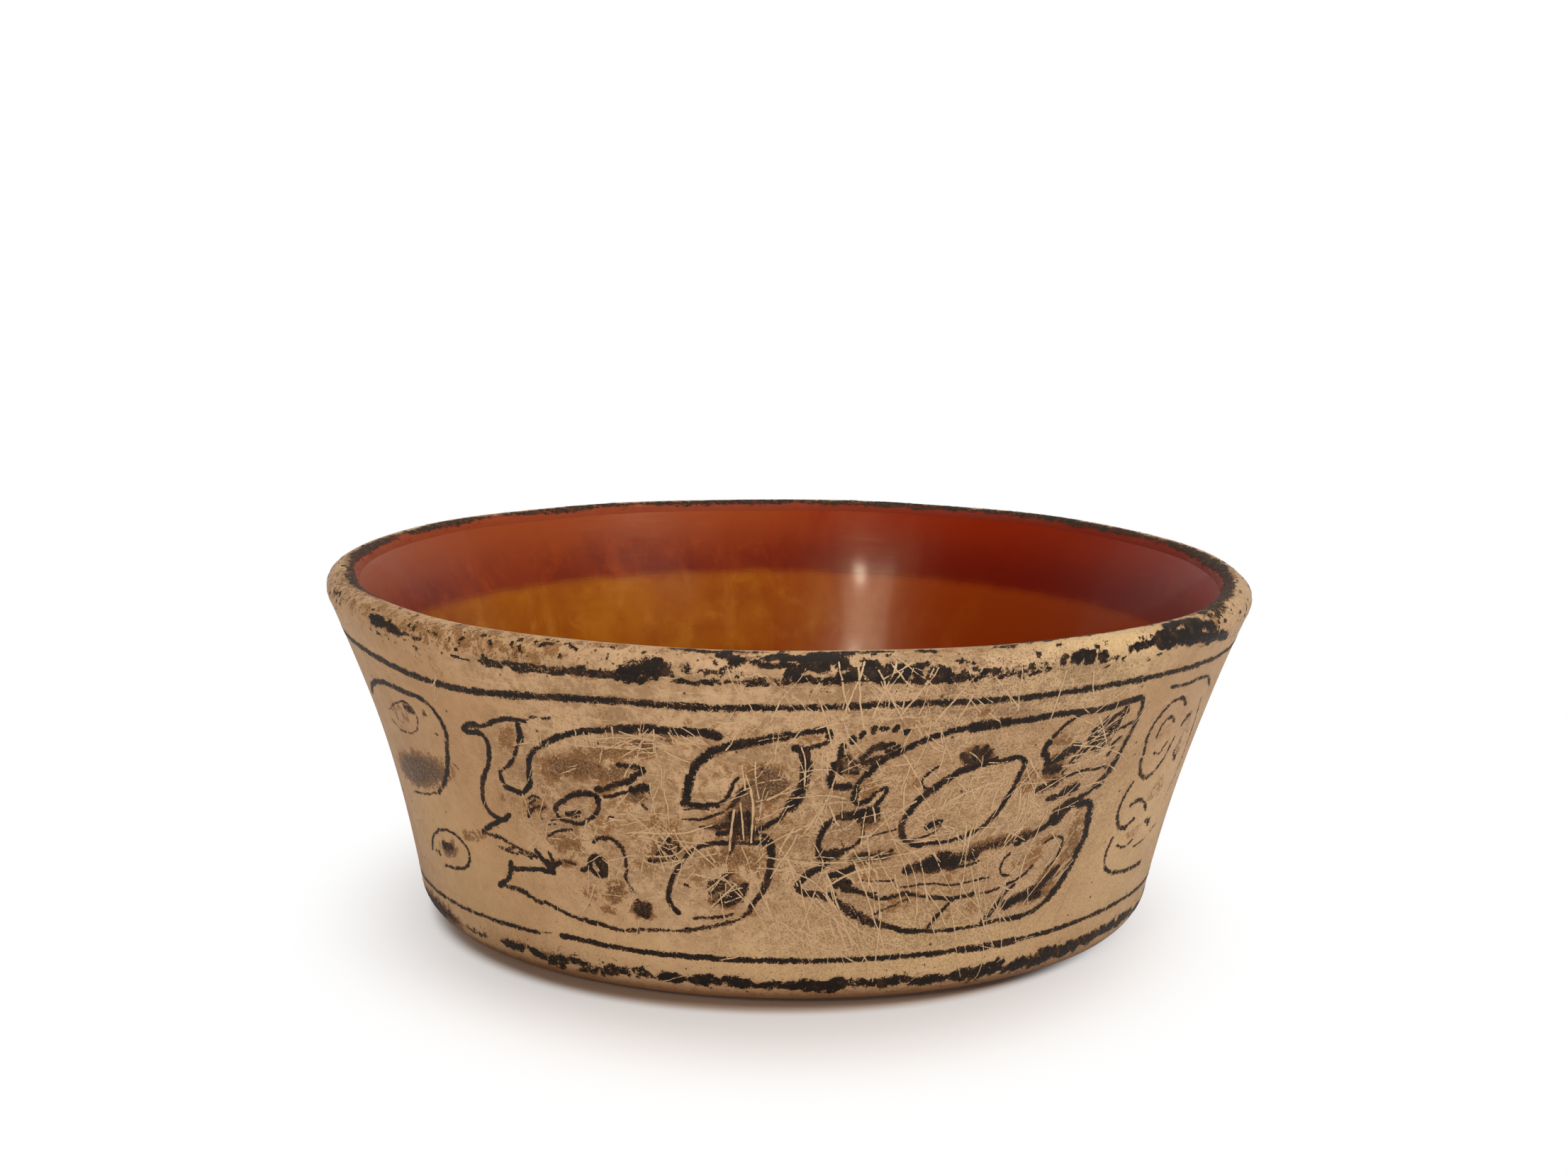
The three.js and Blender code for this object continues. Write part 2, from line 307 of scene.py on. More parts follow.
SNOUTED_HEAD = [
    (1.3, 1.0, -66.2, 52.5, -64.5, 53.6, -62.3, 54.3),
    (0.9, 1.0, -63.5, 54, -60.5, 54.2, -58, 55.4, -55, 56.6, -52.5, 57.2, -51, 57.3, -49, 57.2),
    (0.7, 0.7, -49, 57.3, -48, 58.1, -47.2, 58.4, -45, 58.3, -43.4, 58.6),
    (1.2, 1.0, -52, 57.1, -51.2, 56.6, -51.1, 55, -51.3, 53.4, -51.8, 52.4),
    (0.85, 0.85, -51.8, 52.4, -52.8, 50.9, -53.8, 49.4, -55, 47.6, -56.4, 46.4),
    (0.8, 0.66, -56.4, 46.4, -57.6, 45.5, -58.4, 45),
    (1.1, 0.95, -59, 44.5, -59.1, 43.4, -59, 42.4),
    (1.1, 1.0, -58.5, 41.5, -57, 41.4, -55, 41, -53.5, 41.6, -52, 43, -51.5, 45, -51, 47,
     -50.2, 49, -49, 50.6, -47.6, 51.7),
    (1.2, 1.0, -46.4, 52.4, -45.3, 53.2, -42.5, 54.8, -39, 56, -36, 56.9, -33, 57.4, -30, 57.9),
    (1.55, 1.0, -31.4, 57.8, -27, 58.3, -23, 58.7, -20, 58.5, -16, 58.6, -13.5, 58.4, -12.2, 58.1),
    (0.5, 0.5, -12.4, 58.2, -10.9, 58.1),
    (1.05, 1.0, -65.5, 52.1, -64, 52.2, -62, 52.6, -60.8, 51.8, -60.3, 50, -60.8, 47.8, -62, 45.5,
     -64, 43, -65.3, 41, -66.1, 38.5, -66.3, 36.5, -65.4, 34.8, -63.6, 34, -61.5, 33.9,
     -60.3, 34.6, -59.6, 35.2), (1.1, 1.0, -62.8, 33.6, -65.5, 32, -68, 30.5, -69.2, 29.8),
    (1.0, 0.85, -68.8, 29.7, -66.5, 29.6, -64, 29.5, -62.3, 29.2),
    (1.1, 0.7, -64.7, 27.3, -62, 27.2, -60.5, 28.3, -58, 28, -56, 27.6, -54.3, 27.4),
    (0.9, 0.62, -61.8, 28.9, -59, 28.3), (0.9, 0.62, -62.5, 26.9, -60, 26.9),
    (0.9, 0.6, -58.6, 27.2, -55.6, 26.8),
    (1.2, 0.9, -53.7, 28.3, -52.5, 27, -51.3, 25.6, -50.2, 24.6),
    (1.1, 0.9, -48.2, 27, -49.6, 26.3, -50.3, 25), (1.0, 0.85, -50.5, 28.4, -49.6, 26.8),
    (1.6, 0.95, -51.2, 26.2, -50.3, 25.2),
    (1.0, 1.0, -50.4, 24.6, -53, 24.6, -55.5, 24.2, -58, 23.9, -60.5, 23.5, -62.3, 23.3),
    (1.2, 0.95, -62.2, 24.2, -62.8, 22.3, -64, 20.8, -65.5, 19.6, -66.8, 18.8, -67.3, 18.6),
    (1.1, 0.82, -66.6, 19, -64.5, 18.7, -62, 18.8, -60, 18.7, -58.3, 18.1),
    (1.1, 0.78, -57.4, 17.6, -55, 17.2),
    (1.0, 0.74, -53.8, 17.4, -51, 16.7, -49, 16.2, -47.2, 15.8),
    (1.0, 0.78, -46.4, 15.5, -45, 15.4, -43.5, 15.3), (1.1, 0.78, -42.6, 15, -38.8, 15),
    (0.9, 0.7, -38, 14.7, -34.8, 14.4),
    (1.0, 0.6, -33.3, 14.5, -31, 14.9, -28.8, 15.2, -26.5, 15.5),
    (0.9, 0.54, -26, 15.5, -23.5, 15.6, -20, 16),
    (1.1, 0.6, -20.5, 15.9, -17, 16.7, -13.5, 17.6, -10, 18.7, -8, 19.9, -6.5, 21.2),
    (0.8, 0.7, -18.5, 18.7, -14, 19.3, -10.5, 20),
    (1.0, 1.0, -46.8, 38.7, -46, 39.8, -44.5, 41, -42.5, 42.2, -40, 43, -38, 43.3, -36.5, 42.8,
     -36.4, 41.5),
    (0.8, 0.85, -36.6, 40.6, -38, 38.5, -39.8, 37.3, -41.5, 36.3, -43.5, 36.4, -45.7, 36.8,
     -46.7, 37.8, -46.8, 38.7), (1.2, 0.95, -41.5, 42.7, -39, 43.4, -37.4, 43.2),
    (0.9, 0.85, -44, 38.2, -42.5, 38.6, -41.4, 39), (0.8, 0.7, -42.8, 37.9, -41.6, 38),
    (0.6, 0.6, -48.3, 36.3, -46.3, 37), (0.6, 0.6, -49, 35, -47.5, 35.4),
    (1.1, 0.95, -31, 50.2, -29, 50.3, -27, 50.2, -26.3, 49.8, -27.2, 49, -28.5, 48.2),
    (1.2, 1.0, -28.5, 48, -29.5, 47.2, -31.5, 46.3, -34, 45.2, -36.3, 44.5),
    (0.7, 0.9, -35, 43.2, -33, 43.6, -31.5, 44.3, -29.5, 44.8),
    (1.6, 1.0, -28.8, 45.1, -27.8, 45.4, -26.4, 46.1),
    (0.4, 0.6, -25.8, 45, -25.3, 43.8, -25.2, 43), (0.9, 0.6, -27, 42, -26.7, 41.6),
    (0.6, 0.6, -34.4, 38.8, -34, 38.8), (1.0, 0.75, -53.8, 36.3, -52.5, 37.8, -50.8, 38.7),
    (0.8, 0.65, -54, 37, -53, 38.6, -51.7, 39.7),
    (0.8, 0.65, -52.8, 40.3, -51.6, 40.9, -50.2, 40.5), (0.7, 0.6, -50.6, 37.9, -49.2, 38.9),
    (0.7, 0.8, -49.7, 32.4, -48, 33.6, -46, 34.4, -44, 34.8),
    (1.0, 0.85, -39, 33, -37.5, 33.9, -35.5, 34.2, -33.8, 33.6, -32.5, 32.2),
    (0.8, 0.7, -32.5, 32.4, -32.2, 30, -32.3, 28, -32.6, 26, -32.2, 24.6, -31.5, 23.6),
    (1.2, 1.0, -40.6, 27.4, -40.2, 28.9, -38.8, 29.6, -37.3, 29, -36.7, 27.6, -37.4, 26.2,
     -39, 25.9, -40.4, 26.8), (1.3, 0.9, -38.6, 28.6, -38, 27),
    (1.1, 0.85, -42.4, 26.4, -40.8, 27), (0.9, 0.55, -46.3, 27.6, -44.6, 27.3),
    (1.1, 0.72, -26.8, 30.5, -24.6, 30.7, -22.3, 31.2),
    (1.1, 0.85, -25, 32, -23.5, 33.2, -22.6, 35.2), (1.5, 0.9, -24, 31.8, -22.7, 33.2),
    (1.1, 0.8, -21.4, 34.6, -20.6, 33.2), (1.0, 0.8, -22.8, 33, -21.5, 31.6),
    (2.2, 0.74, -30, 20.4, -29.2, 19), (1.6, 0.72, -28.4, 20.2, -28.8, 18.6),
    (1.2, 0.7, -30.9, 19.2, -29.6, 18.2),
]
LEAF_GLYPH = [
    (1.6, 1.0, -18.8, 43.2, -18.5, 43.5, -18.3, 46, -17.6, 48.3),
    (1.55, 1.0, -17.8, 47.6, -17, 50.2, -15.8, 52.2, -14, 54, -12.5, 54.9, -10, 56),
    (1.65, 1.0, -10.5, 55.8, -8, 56.5, -5, 57.2, -2, 58, 0, 58.3),
    (1.3, 0.9, -0.5, 58.2, 2, 58.9, 5, 59.5, 6.8, 59.5, 7.4, 58.8, 7.2, 57.8),
    (1.1, 0.8, 6.7, 57, 4.5, 56.2, 2.5, 55.6),
    (1.1, 1.0, -18.9, 43.6, -17.5, 43.1, -15, 43.3, -13, 43.5),
    (0.8, 0.9, -13.2, 43.4, -11.5, 44.3, -10.5, 46, -9.7, 48, -8.8, 49.3),
    (0.4, 0.7, -19.3, 42, -17, 42.3, -14.5, 42.4),
    (0.6, 0.8, -19.4, 40, -16, 40.2, -13.5, 41.2, -11.5, 42.2, -10.5, 43),
    (0.8, 0.65, -16, 38.5, -13, 38.8, -11.5, 39.3), (1.5, 0.95, 1.6, 55.8, 2.9, 55.4, 3, 54),
    (1.9, 1.12, 3, 54.5, 3.5, 52, 3.5, 50, 3, 48, 2.2, 46, 0.8, 43.5),
    (1.1, 0.95, 1.1, 44, -1, 41.3, -3.5, 39.4, -5.5, 38.2),
    (2.0, 1.0, -9.9, 41, -9.8, 39.5, -9.6, 36.4), (1.6, 0.95, -8.4, 41.4, -8.2, 39.5, -7.8, 36.4),
    (1.7, 0.9, -7.2, 41.4, -7, 39, -6.4, 36.8), (1.3, 0.75, -12.6, 38.6, -10.4, 39.6),
    (1.4, 0.78, -12.4, 37.4, -9.4, 38), (1.0, 0.95, -9.8, 43.6, -8.5, 46, -7, 47.6),
    (1.0, 1.0, -21.8, 19.7, -22.8, 20.8, -23.7, 22.8, -23.3, 25, -22.3, 27.5),
    (0.9, 0.9, -22.3, 27.5, -21, 30, -19.5, 32, -17.5, 33.7, -15, 34.9, -12.5, 35.3, -10, 35.5,
     -7, 35.5, -4.5, 35.8),
    (1.3, 1.0, -4.8, 35.8, -3.2, 36, -2.6, 35, -2.6, 33, -2.9, 30.5, -3.3, 28, -4.2, 25.5),
    (0.9, 0.9, -4.2, 25.4, -5.5, 23.7, -6.6, 21.8),
    (0.9, 0.85, -9, 37.3, -6, 37.6, -3.8, 37.2, -2.8, 36),
    (0.8, 0.8, -10.8, 33.4, -10.3, 34.4, -9.7, 35.3),
    (1.1, 0.6, -14.8, 25.8, -12.5, 27.2, -10.8, 28.3), (1.2, 0.55, -15, 23, -12.5, 22),
    (3.0, 0.85, -11.4, 23.2, -9.4, 24.4), (1.3, 0.75, -12.4, 28.2, -10.8, 28.8),
    (1.6, 0.7, -14.4, 26.6, -12.2, 27.4), (1.9, 0.85, -8.6, 25.6, -7.9, 26.2),
    (1.0, 0.6, -19.9, 25.7, -19.6, 25.7), (1.2, 0.6, -14.6, 24.6, -12.6, 25.6),
]
BEAKED_HEAD = [
    (1.2, 1.0, 11.3, 57.4, 11.3, 57.9), (1.1, 0.95, 12.8, 58.4, 13, 58.8),
    (1.1, 1.0, 14.8, 59.3, 14.9, 59.7), (1.1, 1.0, 16.5, 59.6, 16.8, 59.6),
    (1.1, 1.0, 18.7, 59.4, 18.8, 59.8), (1.1, 1.0, 20.5, 58.8, 20.7, 59),
    (1.2, 1.0, 9.6, 56.2, 9.4, 54.2), (1.4, 1.0, 8.4, 52.3, 8.1, 51),
    (1.4, 1.0, 7.9, 49.8, 8.3, 47.8), (1.4, 1.0, 9.7, 47.6, 11, 47.9),
    (1.0, 0.85, 9.4, 53.5, 9.8, 50.8), (1.3, 0.75, 10.8, 53.8, 12.2, 52.2),
    (1.2, 0.75, 10.4, 51, 12.2, 50.7),
    (1.2, 1.0, 14.6, 54.8, 13.3, 54, 13.3, 53, 14.5, 52.6, 15.5, 53.1),
    (1.3, 1.0, 15.3, 55.7, 16.6, 56.1), (1.1, 1.0, 17.2, 56, 18.4, 56.4),
    (0.8, 0.9, 17.8, 55, 19.5, 55.9), (0.9, 0.9, 15, 53.3, 16.5, 53.9),
    (1.2, 1.0, 12.6, 45, 12.7, 47, 13.6, 49.2, 15, 51, 16.5, 52.6, 18.8, 54.2, 21.5, 55.6,
     24, 56.8, 27, 57.9, 30, 58.8, 34, 59.3), (1.9, 1.0, 33, 59.1, 36, 59.3, 40, 59.4),
    (1.25, 1.0, 39, 59.4, 42, 59.4, 46, 59.7, 50, 60, 54, 59.8, 57, 59.5, 61, 59.6, 65, 60,
     69, 60.2, 70.8, 60.2, 71.8, 59, 72.2, 56.5, 71.8, 53.5, 70.8, 50.5, 70, 47.5, 69, 45.2,
     67, 43.3, 64.5, 41.4, 62, 40.2, 60, 39.3), (3.2, 1.0, 58.2, 38.4, 57, 37.3),
    (1.6, 1.0, 59, 39.6, 62, 40.2), (1.2, 1.0, 60, 38.9, 57, 37, 54.5, 35.4, 51, 33.7, 48.5, 32.7),
    (1.2, 0.62, 48.5, 32.8, 44, 32.7, 41, 32.6, 38, 32),
    (1.7, 1.0, 61.5, 39, 65, 38.8, 66.3, 37, 67, 34, 67.3, 31, 66.5, 28, 65, 24.5, 63, 21,
     61, 18.8), (1.1, 0.95, 61.4, 19.1, 58.5, 17.2, 55.5, 16.2, 52, 15.9, 48, 16),
    (0.8, 0.85, 48.4, 16, 44, 15.6, 41, 15.4, 36, 15.3, 33, 15.4, 30.5, 15.6, 28, 15.8),
    (1.0, 0.95, 28.4, 15.8, 25, 16.2, 22.5, 17, 20, 18),
    (1.9, 0.92, 20.3, 17.9, 17, 18.9, 15, 20.2, 12.5, 21.7),
    (1.5, 0.78, 12.8, 21.6, 10.5, 23.2, 8, 24.3, 6.3, 24.8),
    (1.2, 1.0, 6.5, 24.8, 4.3, 24.9, 3, 25.8, 2.8, 26.8),
    (1.2, 1.0, 2.6, 26.6, 3.8, 28.2, 5.5, 29.7, 7.6, 30.8), (0.7, 0.85, 7.8, 30.8, 8.5, 31.5),
    (0.9, 0.9, 3.6, 25.2, 6, 24.5, 8.5, 24.7, 10, 24.8),
    (1.6, 0.95, 9.4, 28.6, 11, 29.2, 13.4, 30), (2.0, 1.0, 10.6, 27, 12.4, 26.4),
    (1.4, 1.0, 11.2, 28.2, 12.4, 27.2), (1.3, 0.95, 12, 26, 14, 25.4),
    (0.9, 1.0, 12.5, 26, 15.8, 24.8, 19.2, 23.5), (0.6, 0.7, 15.8, 24.9, 18.5, 24.6),
    (1.1, 0.75, 19, 23.3, 22, 23.7, 25, 24.3),
    (0.85, 1.0, 24.6, 24.3, 30, 23.1, 35, 22.3, 40, 22.5),
    (0.7, 0.8, 42.2, 22.6, 44.2, 22.7, 48.3, 23.7, 51.7, 25, 53.8, 26.8),
    (0.45, 0.7, 15, 27.7, 17, 27.4, 22, 27.2),
    (0.5, 0.75, 24, 25.6, 30, 26, 34, 25.2, 38, 25.4, 43, 25.9),
    (2.2, 1.0, 24.9, 29.3, 26.5, 29.7, 28, 30), (3.2, 1.0, 29, 30, 31.5, 30.4, 33.4, 30.2),
    (2.4, 1.0, 32.5, 30.4, 36, 31, 38, 31.4), (2.0, 1.0, 31, 31.6, 32.6, 31.8),
    (1.6, 0.9, 27.6, 29.2, 30, 29), (0.7, 0.8, 34, 28.8, 38, 29.3, 40, 29.6),
    (1.9, 0.55, 38.3, 32.3, 42, 32.9, 46, 33.4, 50, 34.4), (1.8, 0.72, 13.4, 31.8, 15.8, 32.8),
    (1.4, 0.7, 16.8, 31.8, 18, 33), (1.5, 0.72, 19, 32.4, 20.4, 33.2),
    (1.1, 1.0, 6.8, 33.5, 6.3, 35.5, 7, 38, 8, 40, 9.5, 41, 11, 41.3),
    (1.8, 1.0, 11, 41.4, 13, 41.6, 15, 42, 16.6, 42.3),
    (0.7, 0.85, 14.7, 39, 14.8, 37.5, 14.2, 35.8, 12.5, 34.6, 10.5, 34),
    (0.9, 0.85, 6.6, 34.2, 9.5, 33, 11, 33.6), (2.3, 1.0, 7.4, 33, 9.8, 33.4),
    (1.5, 0.75, 14.2, 40.6, 17, 40.6), (1.2, 0.72, 14.8, 39.6, 17.4, 41.2),
    (0.9, 1.0, 16.3, 42.5, 16.8, 43.8, 17.8, 45.2, 18.5, 46.5, 18.2, 47.2, 17, 46.5),
    (1.0, 0.95, 12.6, 45, 13, 44.1, 14.2, 44.2, 15.5, 45, 16.3, 46.1),
    (0.45, 0.7, 15.5, 36.5, 18, 37.5, 21.5, 38.3), (0.5, 0.6, 10.8, 36, 11.2, 34.5),
    (1.2, 1.0, 22.4, 38.5, 22.7, 40, 23.5, 42, 25, 44.2, 26.5, 45.8),
    (1.4, 1.0, 26, 45.4, 28.5, 47.3, 30.5, 48.8, 32.5, 50, 35, 50.7),
    (1.05, 0.95, 34.6, 50.6, 38, 51.2, 41, 51.2, 43.5, 51.6, 45.3, 50.7, 45.5, 49.5),
    (1.0, 1.0, 45.5, 49.6, 45, 47.5, 44.3, 45.3, 43.2, 42.6, 41.8, 40, 40.3, 38.2),
    (1.0, 0.8, 40.6, 38.5, 38.5, 36.8, 36.5, 36, 34.5, 35.3),
    (0.8, 0.9, 35, 35.4, 32, 34.9, 28.5, 34.7, 26, 34.5),
    (1.1, 0.95, 26.3, 34.5, 24, 35.3, 22.8, 36.8, 22.4, 38.5), (1.5, 1.0, 27.8, 38.4, 29.4, 39),
    (0.6, 0.75, 30.2, 39.3, 30, 38, 28.5, 36.8, 26.5, 36, 24.8, 35.8),
    (0.6, 0.85, 27.5, 51.2, 26, 50, 25, 48.5, 25.2, 47.2, 26.2, 46.6, 27.5, 46.9),
    (1.6, 0.8, 34, 51.2, 32.3, 53), (1.5, 0.8, 34.6, 51.4, 34.3, 54.2),
    (1.5, 0.8, 35.5, 51.4, 36, 54.4), (1.4, 0.78, 36, 51.2, 37.4, 53.4),
    (0.9, 0.8, 36, 51.4, 39, 51.8), (1.4, 1.0, 50, 51, 49.2, 52, 49.6, 54),
    (0.8, 0.85, 50.4, 55.2, 52, 57, 54, 58.3, 55.5, 59.2), (2.1, 1.0, 54.8, 51.2, 56.6, 52),
    (1.9, 1.0, 51, 49.6, 53.4, 50.3), (2.0, 0.9, 51.2, 47.8, 53.4, 48.2),
    (2.5, 0.72, 51, 44, 54, 45), (2.3, 0.95, 57.4, 42.4, 59.4, 43),
    (1.2, 0.95, 53.6, 41.4, 55, 41.6), (1.7, 0.95, 68.8, 45.6, 69.2, 46.5),
    (1.5, 0.95, 66.4, 42.3, 67.3, 42.7), (1.0, 0.8, 54.5, 41.5, 56, 41.6, 57.5, 42),
    (1.2, 0.95, 57, 49, 60, 51.5, 63, 53.7, 66, 56, 68, 57.6),
    (1.6, 0.8, 61.8, 51, 64.6, 53.2, 66.6, 55.2), (1.1, 0.9, 60.5, 55, 63, 57),
    (2.1, 0.9, 60.4, 53.4, 63.6, 56.2), (1.3, 0.8, 64.8, 57.2, 67.2, 58.6),
    (1.0, 0.85, 64, 54.2, 66.5, 54, 69.5, 54.8, 71.5, 55), (1.2, 0.85, 63, 50.6, 65.4, 51.8),
    (1.2, 0.85, 66.8, 51, 68.8, 51.8),
    (0.7, 0.85, 55.5, 47.6, 55, 46.7, 56, 46, 58, 46.2, 61, 46.4, 64, 46.3, 67, 46.2),
    (0.9, 0.85, 66.5, 49, 68.5, 52),
    (0.6, 0.75, 55.5, 31.4, 58, 32.4, 60, 32.2, 60.7, 31, 60.4, 28.5, 59.5, 26.8, 57.8, 25.2),
    (0.7, 0.7, 47, 30.5, 46, 29.5, 45.6, 27.8, 46.3, 26.2, 48.5, 25.5),
    (2.0, 0.95, 49.2, 19, 51, 19.8, 53.5, 20.5, 56, 21.2),
    (1.8, 0.72, 56, 21.4, 58.5, 22.6, 61, 25), (1.2, 0.8, 54.5, 19.6, 58, 19.8),
    (0.8, 0.8, 43.4, 16.3, 45.8, 19, 48, 21.5, 50, 23.2),
    (0.8, 0.75, 44.8, 16.8, 47, 19.5, 48, 22.4),
    (1.0, 0.8, 30.5, 16, 32.5, 18.8, 34.5, 20.8, 35.5, 22),
    (0.9, 0.6, 18.5, 20, 21.5, 21.5, 25.2, 22.8),
]
SCROLL = [
    (1.2, 0.8, 79.5, 47, 78.6, 50, 79, 53, 81, 55.6, 84.4, 57.2, 88.4, 57, 91, 55),
    (1.0, 0.75, 82.4, 50, 83.2, 52.4, 85.8, 53.4, 88, 52),
    (1.1, 0.78, 80.5, 61, 86, 60.4, 92, 60.4, 98, 59.6, 103, 57),
    (1.3, 0.78, 79.6, 45, 81, 42, 84, 40.4, 87.6, 41, 90.4, 43.4, 92, 47),
    (1.0, 0.72, 84.5, 45.6, 87, 45.2, 88.6, 47.2),
    (1.2, 0.76, 79, 40, 77.4, 37, 77.2, 33.6, 79, 31, 82, 30, 85, 31),
    (1.1, 0.74, 81.6, 35, 84.4, 35.4, 87.4, 34.6, 90, 32.4),
    (1.2, 0.72, 78, 28, 77.2, 25, 78.6, 22, 82, 20, 87, 19, 93, 18.6, 99, 18.4),
    (0.9, 0.68, 81.4, 26, 84.4, 25.2, 87.6, 25.8), (2.1, 0.66, 94.6, 50.6, 96.4, 51.4),
    (1.9, 0.62, 96, 43, 97.4, 42), (2.0, 0.62, 93, 29, 95, 28.6),
    (1.0, 0.64, 101, 54, 104, 49, 105.4, 43, 104.6, 37, 101.6, 32.4),
    (0.9, 0.6, 90, 24, 96, 24.6, 101, 26.4),
]

# Thin brown washes and blots: x, z, half length, half height, degrees of tilt, strength
CARTOUCHE_WASH = [
    (-91, 38.4, 16, 4.0, 12, 1.0), (-90.5, 51, 6, 2.8, 12, 0.4), (-86, 22.4, 4.8, 2.2, 10, 0.85),
    (-73.5, 28, 5.5, 1.6, 14, 0.6), (-78.7, 53.2, 0.9, 0.7, 0, 0.7), (-84.6, 53, 2, 1.4, 0, 0.6),
]
SNOUTED_WASH = [
    (-41, 48.6, 9, 2.9, 4, 0.75), (-33, 48.2, 5, 1.8, 25, 0.72), (-46, 46.4, 3.5, 1.6, 8, 0.7),
    (-32, 53, 9, 1.9, 6, 0.62), (-37, 51.6, 5, 1.3, 0, 0.6), (-26, 54.4, 3.4, 2.4, 0, 0.85),
    (-21.4, 57.2, 1.8, 1.5, 0, 0.8), (-55, 52.5, 2.6, 4, -20, 0.55), (-45, 31.4, 6, 2.6, -8, 0.55),
    (-28.4, 43.6, 2.6, 1.6, 0, 0.9), (-29.3, 19.6, 2.5, 2.3, 0, 1.0),
    (-35, 22.7, 3.2, 2.6, 30, 0.7), (-37.5, 18.6, 2.6, 1.8, 0, 0.6), (-41, 21.8, 3.4, 1.6, 0, 0.5),
    (-23.4, 33.4, 4.6, 3, 30, 0.78), (-24.5, 38, 5, 4.4, 0, 0.5), (-59, 38.5, 3.4, 1.8, 0, 0.4),
    (-46, 27.3, 3, 1.2, 0, 0.7), (-53, 54, 1.6, 2, 0, 0.5), (-52, 38.6, 3.6, 2.6, 20, 0.5),
    (-39, 37, 8, 3.4, 0, 0.4), (-34, 44.8, 4.4, 1.2, 12, 0.6), (-27.5, 29.6, 4, 1.4, 0, 0.5),
    (-48, 42, 3, 3, 0, 0.35),
]
LEAF_WASH = [
    (-3.4, 48.2, 4.2, 4.8, 20, 0.88), (-7, 45.0, 4, 3.2, 45, 0.85), (-8.6, 39.4, 5, 2.8, 0, 1.0),
    (-5.4, 42.6, 3, 2, 40, 0.6), (-11, 32.3, 8, 2.8, 8, 0.66), (-5.6, 30.6, 3, 3.4, 0, 0.6),
    (-12, 25, 4, 3.6, 30, 0.85), (-12.6, 39.2, 3, 1.8, 20, 0.85), (4, 57.6, 2.5, 1.2, 12, 0.5),
    (-6, 20.5, 2.4, 1.6, 20, 0.4), (-15, 48.6, 3, 3.4, 0, 0.28), (1.4, 39, 5, 4, 0, 0.3),
    (1, 30, 4, 4, 0, 0.28), (-18, 28.4, 3, 3, 0, 0.3),
]
BEAKED_WASH = [
    (11.2, 52.2, 2.6, 2.6, 0, 1.0), (15.8, 40.4, 2.6, 1.6, 12, 1.0),
    (34.9, 52.8, 3.5, 2.3, 8, 1.0), (15.4, 32.4, 3.2, 1.7, 10, 0.9), (19, 32.6, 2.6, 1.3, 0, 0.85),
    (42, 33.2, 7, 1.6, 8, 0.85), (48, 34.2, 4, 1.4, 8, 0.7), (31, 28, 8, 1.0, 4, 0.4),
    (36, 27, 5, 1.2, 0, 0.4), (53.5, 54.2, 4.4, 1.7, 16, 0.6), (15.4, 46.8, 2.6, 2.2, 0, 0.6),
    (23.5, 48.5, 3, 1.8, 0, 0.5), (47, 45.8, 2.6, 3.4, -20, 0.62), (59, 23.2, 5.4, 2.3, 30, 0.85),
    (52.4, 48.2, 2.4, 2.6, 0, 0.85), (57, 19.6, 4.6, 1.3, 12, 0.8), (64, 31, 2.6, 8, 0, 0.62),
    (52, 28.8, 5, 2.2, 8, 0.52), (56, 32.4, 4, 1.2, 12, 0.5), (22, 21.5, 7, 2.4, 20, 0.42),
    (38, 19.4, 8, 2.4, 0, 0.38), (35.3, 61.9, 1.8, 0.9, 0, 0.55), (31, 23.6, 8, 1.6, 0, 0.3),
    (16, 28.6, 3, 2, 0, 0.4), (21, 36.5, 4, 3, 0, 0.3), (12, 37.6, 3, 3, 0, 0.3),
    (36, 43, 7, 5, 20, 0.22), (58, 46, 6, 4, 0, 0.25),
]
SCROLL_WASH = [
    (85, 49.5, 4, 2, 20, 0.35), (92, 36, 5, 3, 20, 0.4), (87, 28, 4, 1.6, 0, 0.35),
    (99, 46, 3, 5, 0, 0.4),
]

# Each figure, what it is drawn with, and how far round the wall each of its copies stands
FIGURES = {
    "cartouche": (CARTOUCHE, CARTOUCHE_WASH, (0, 238, 484)),
    "snouted_head": (SNOUTED_HEAD, SNOUTED_WASH, (0, 242)),
    "leaf_glyph": (LEAF_GLYPH, LEAF_WASH, (0, 242)),
    "beaked_head": (BEAKED_HEAD, BEAKED_WASH, (0, 242)),
    "scroll": (SCROLL, SCROLL_WASH, (0, 242)),
}

# The two thin lines run all round. Their two ends meet at the back.
UPPER_LINE = [
    (1.45, 1.0, -276.4, 63.6, -240, 63.9, -200, 63.2, -160, 63.6, -125, 63.2, -110, 63.5,
     -95, 63.2, -72.5, 61.6),
    (1.45, 1.0, -70.6, 61.6, -65, 61.6, -60, 61.8, -52, 62.4, -45, 63, -38, 63.5, -30, 63.9),
    (1.3, 0.85, -30.5, 63.9, -22, 63.8, -16, 63.8),
    (1.3, 0.9, -16.5, 63.7, -8, 64, 0, 64.2, 15, 64.5, 30, 64.6, 50, 64.5, 70, 64.6, 85, 64.4,
     100, 64, 140, 63.8, 190, 64.3, 230, 63.7, 276.4, 63.6),
    (0.5, 0.6, -53, 61.5, -47, 62.1, -43, 62.8), (0.7, 0.7, -28, 64.4, -20, 64.4, -14, 64.3),
]
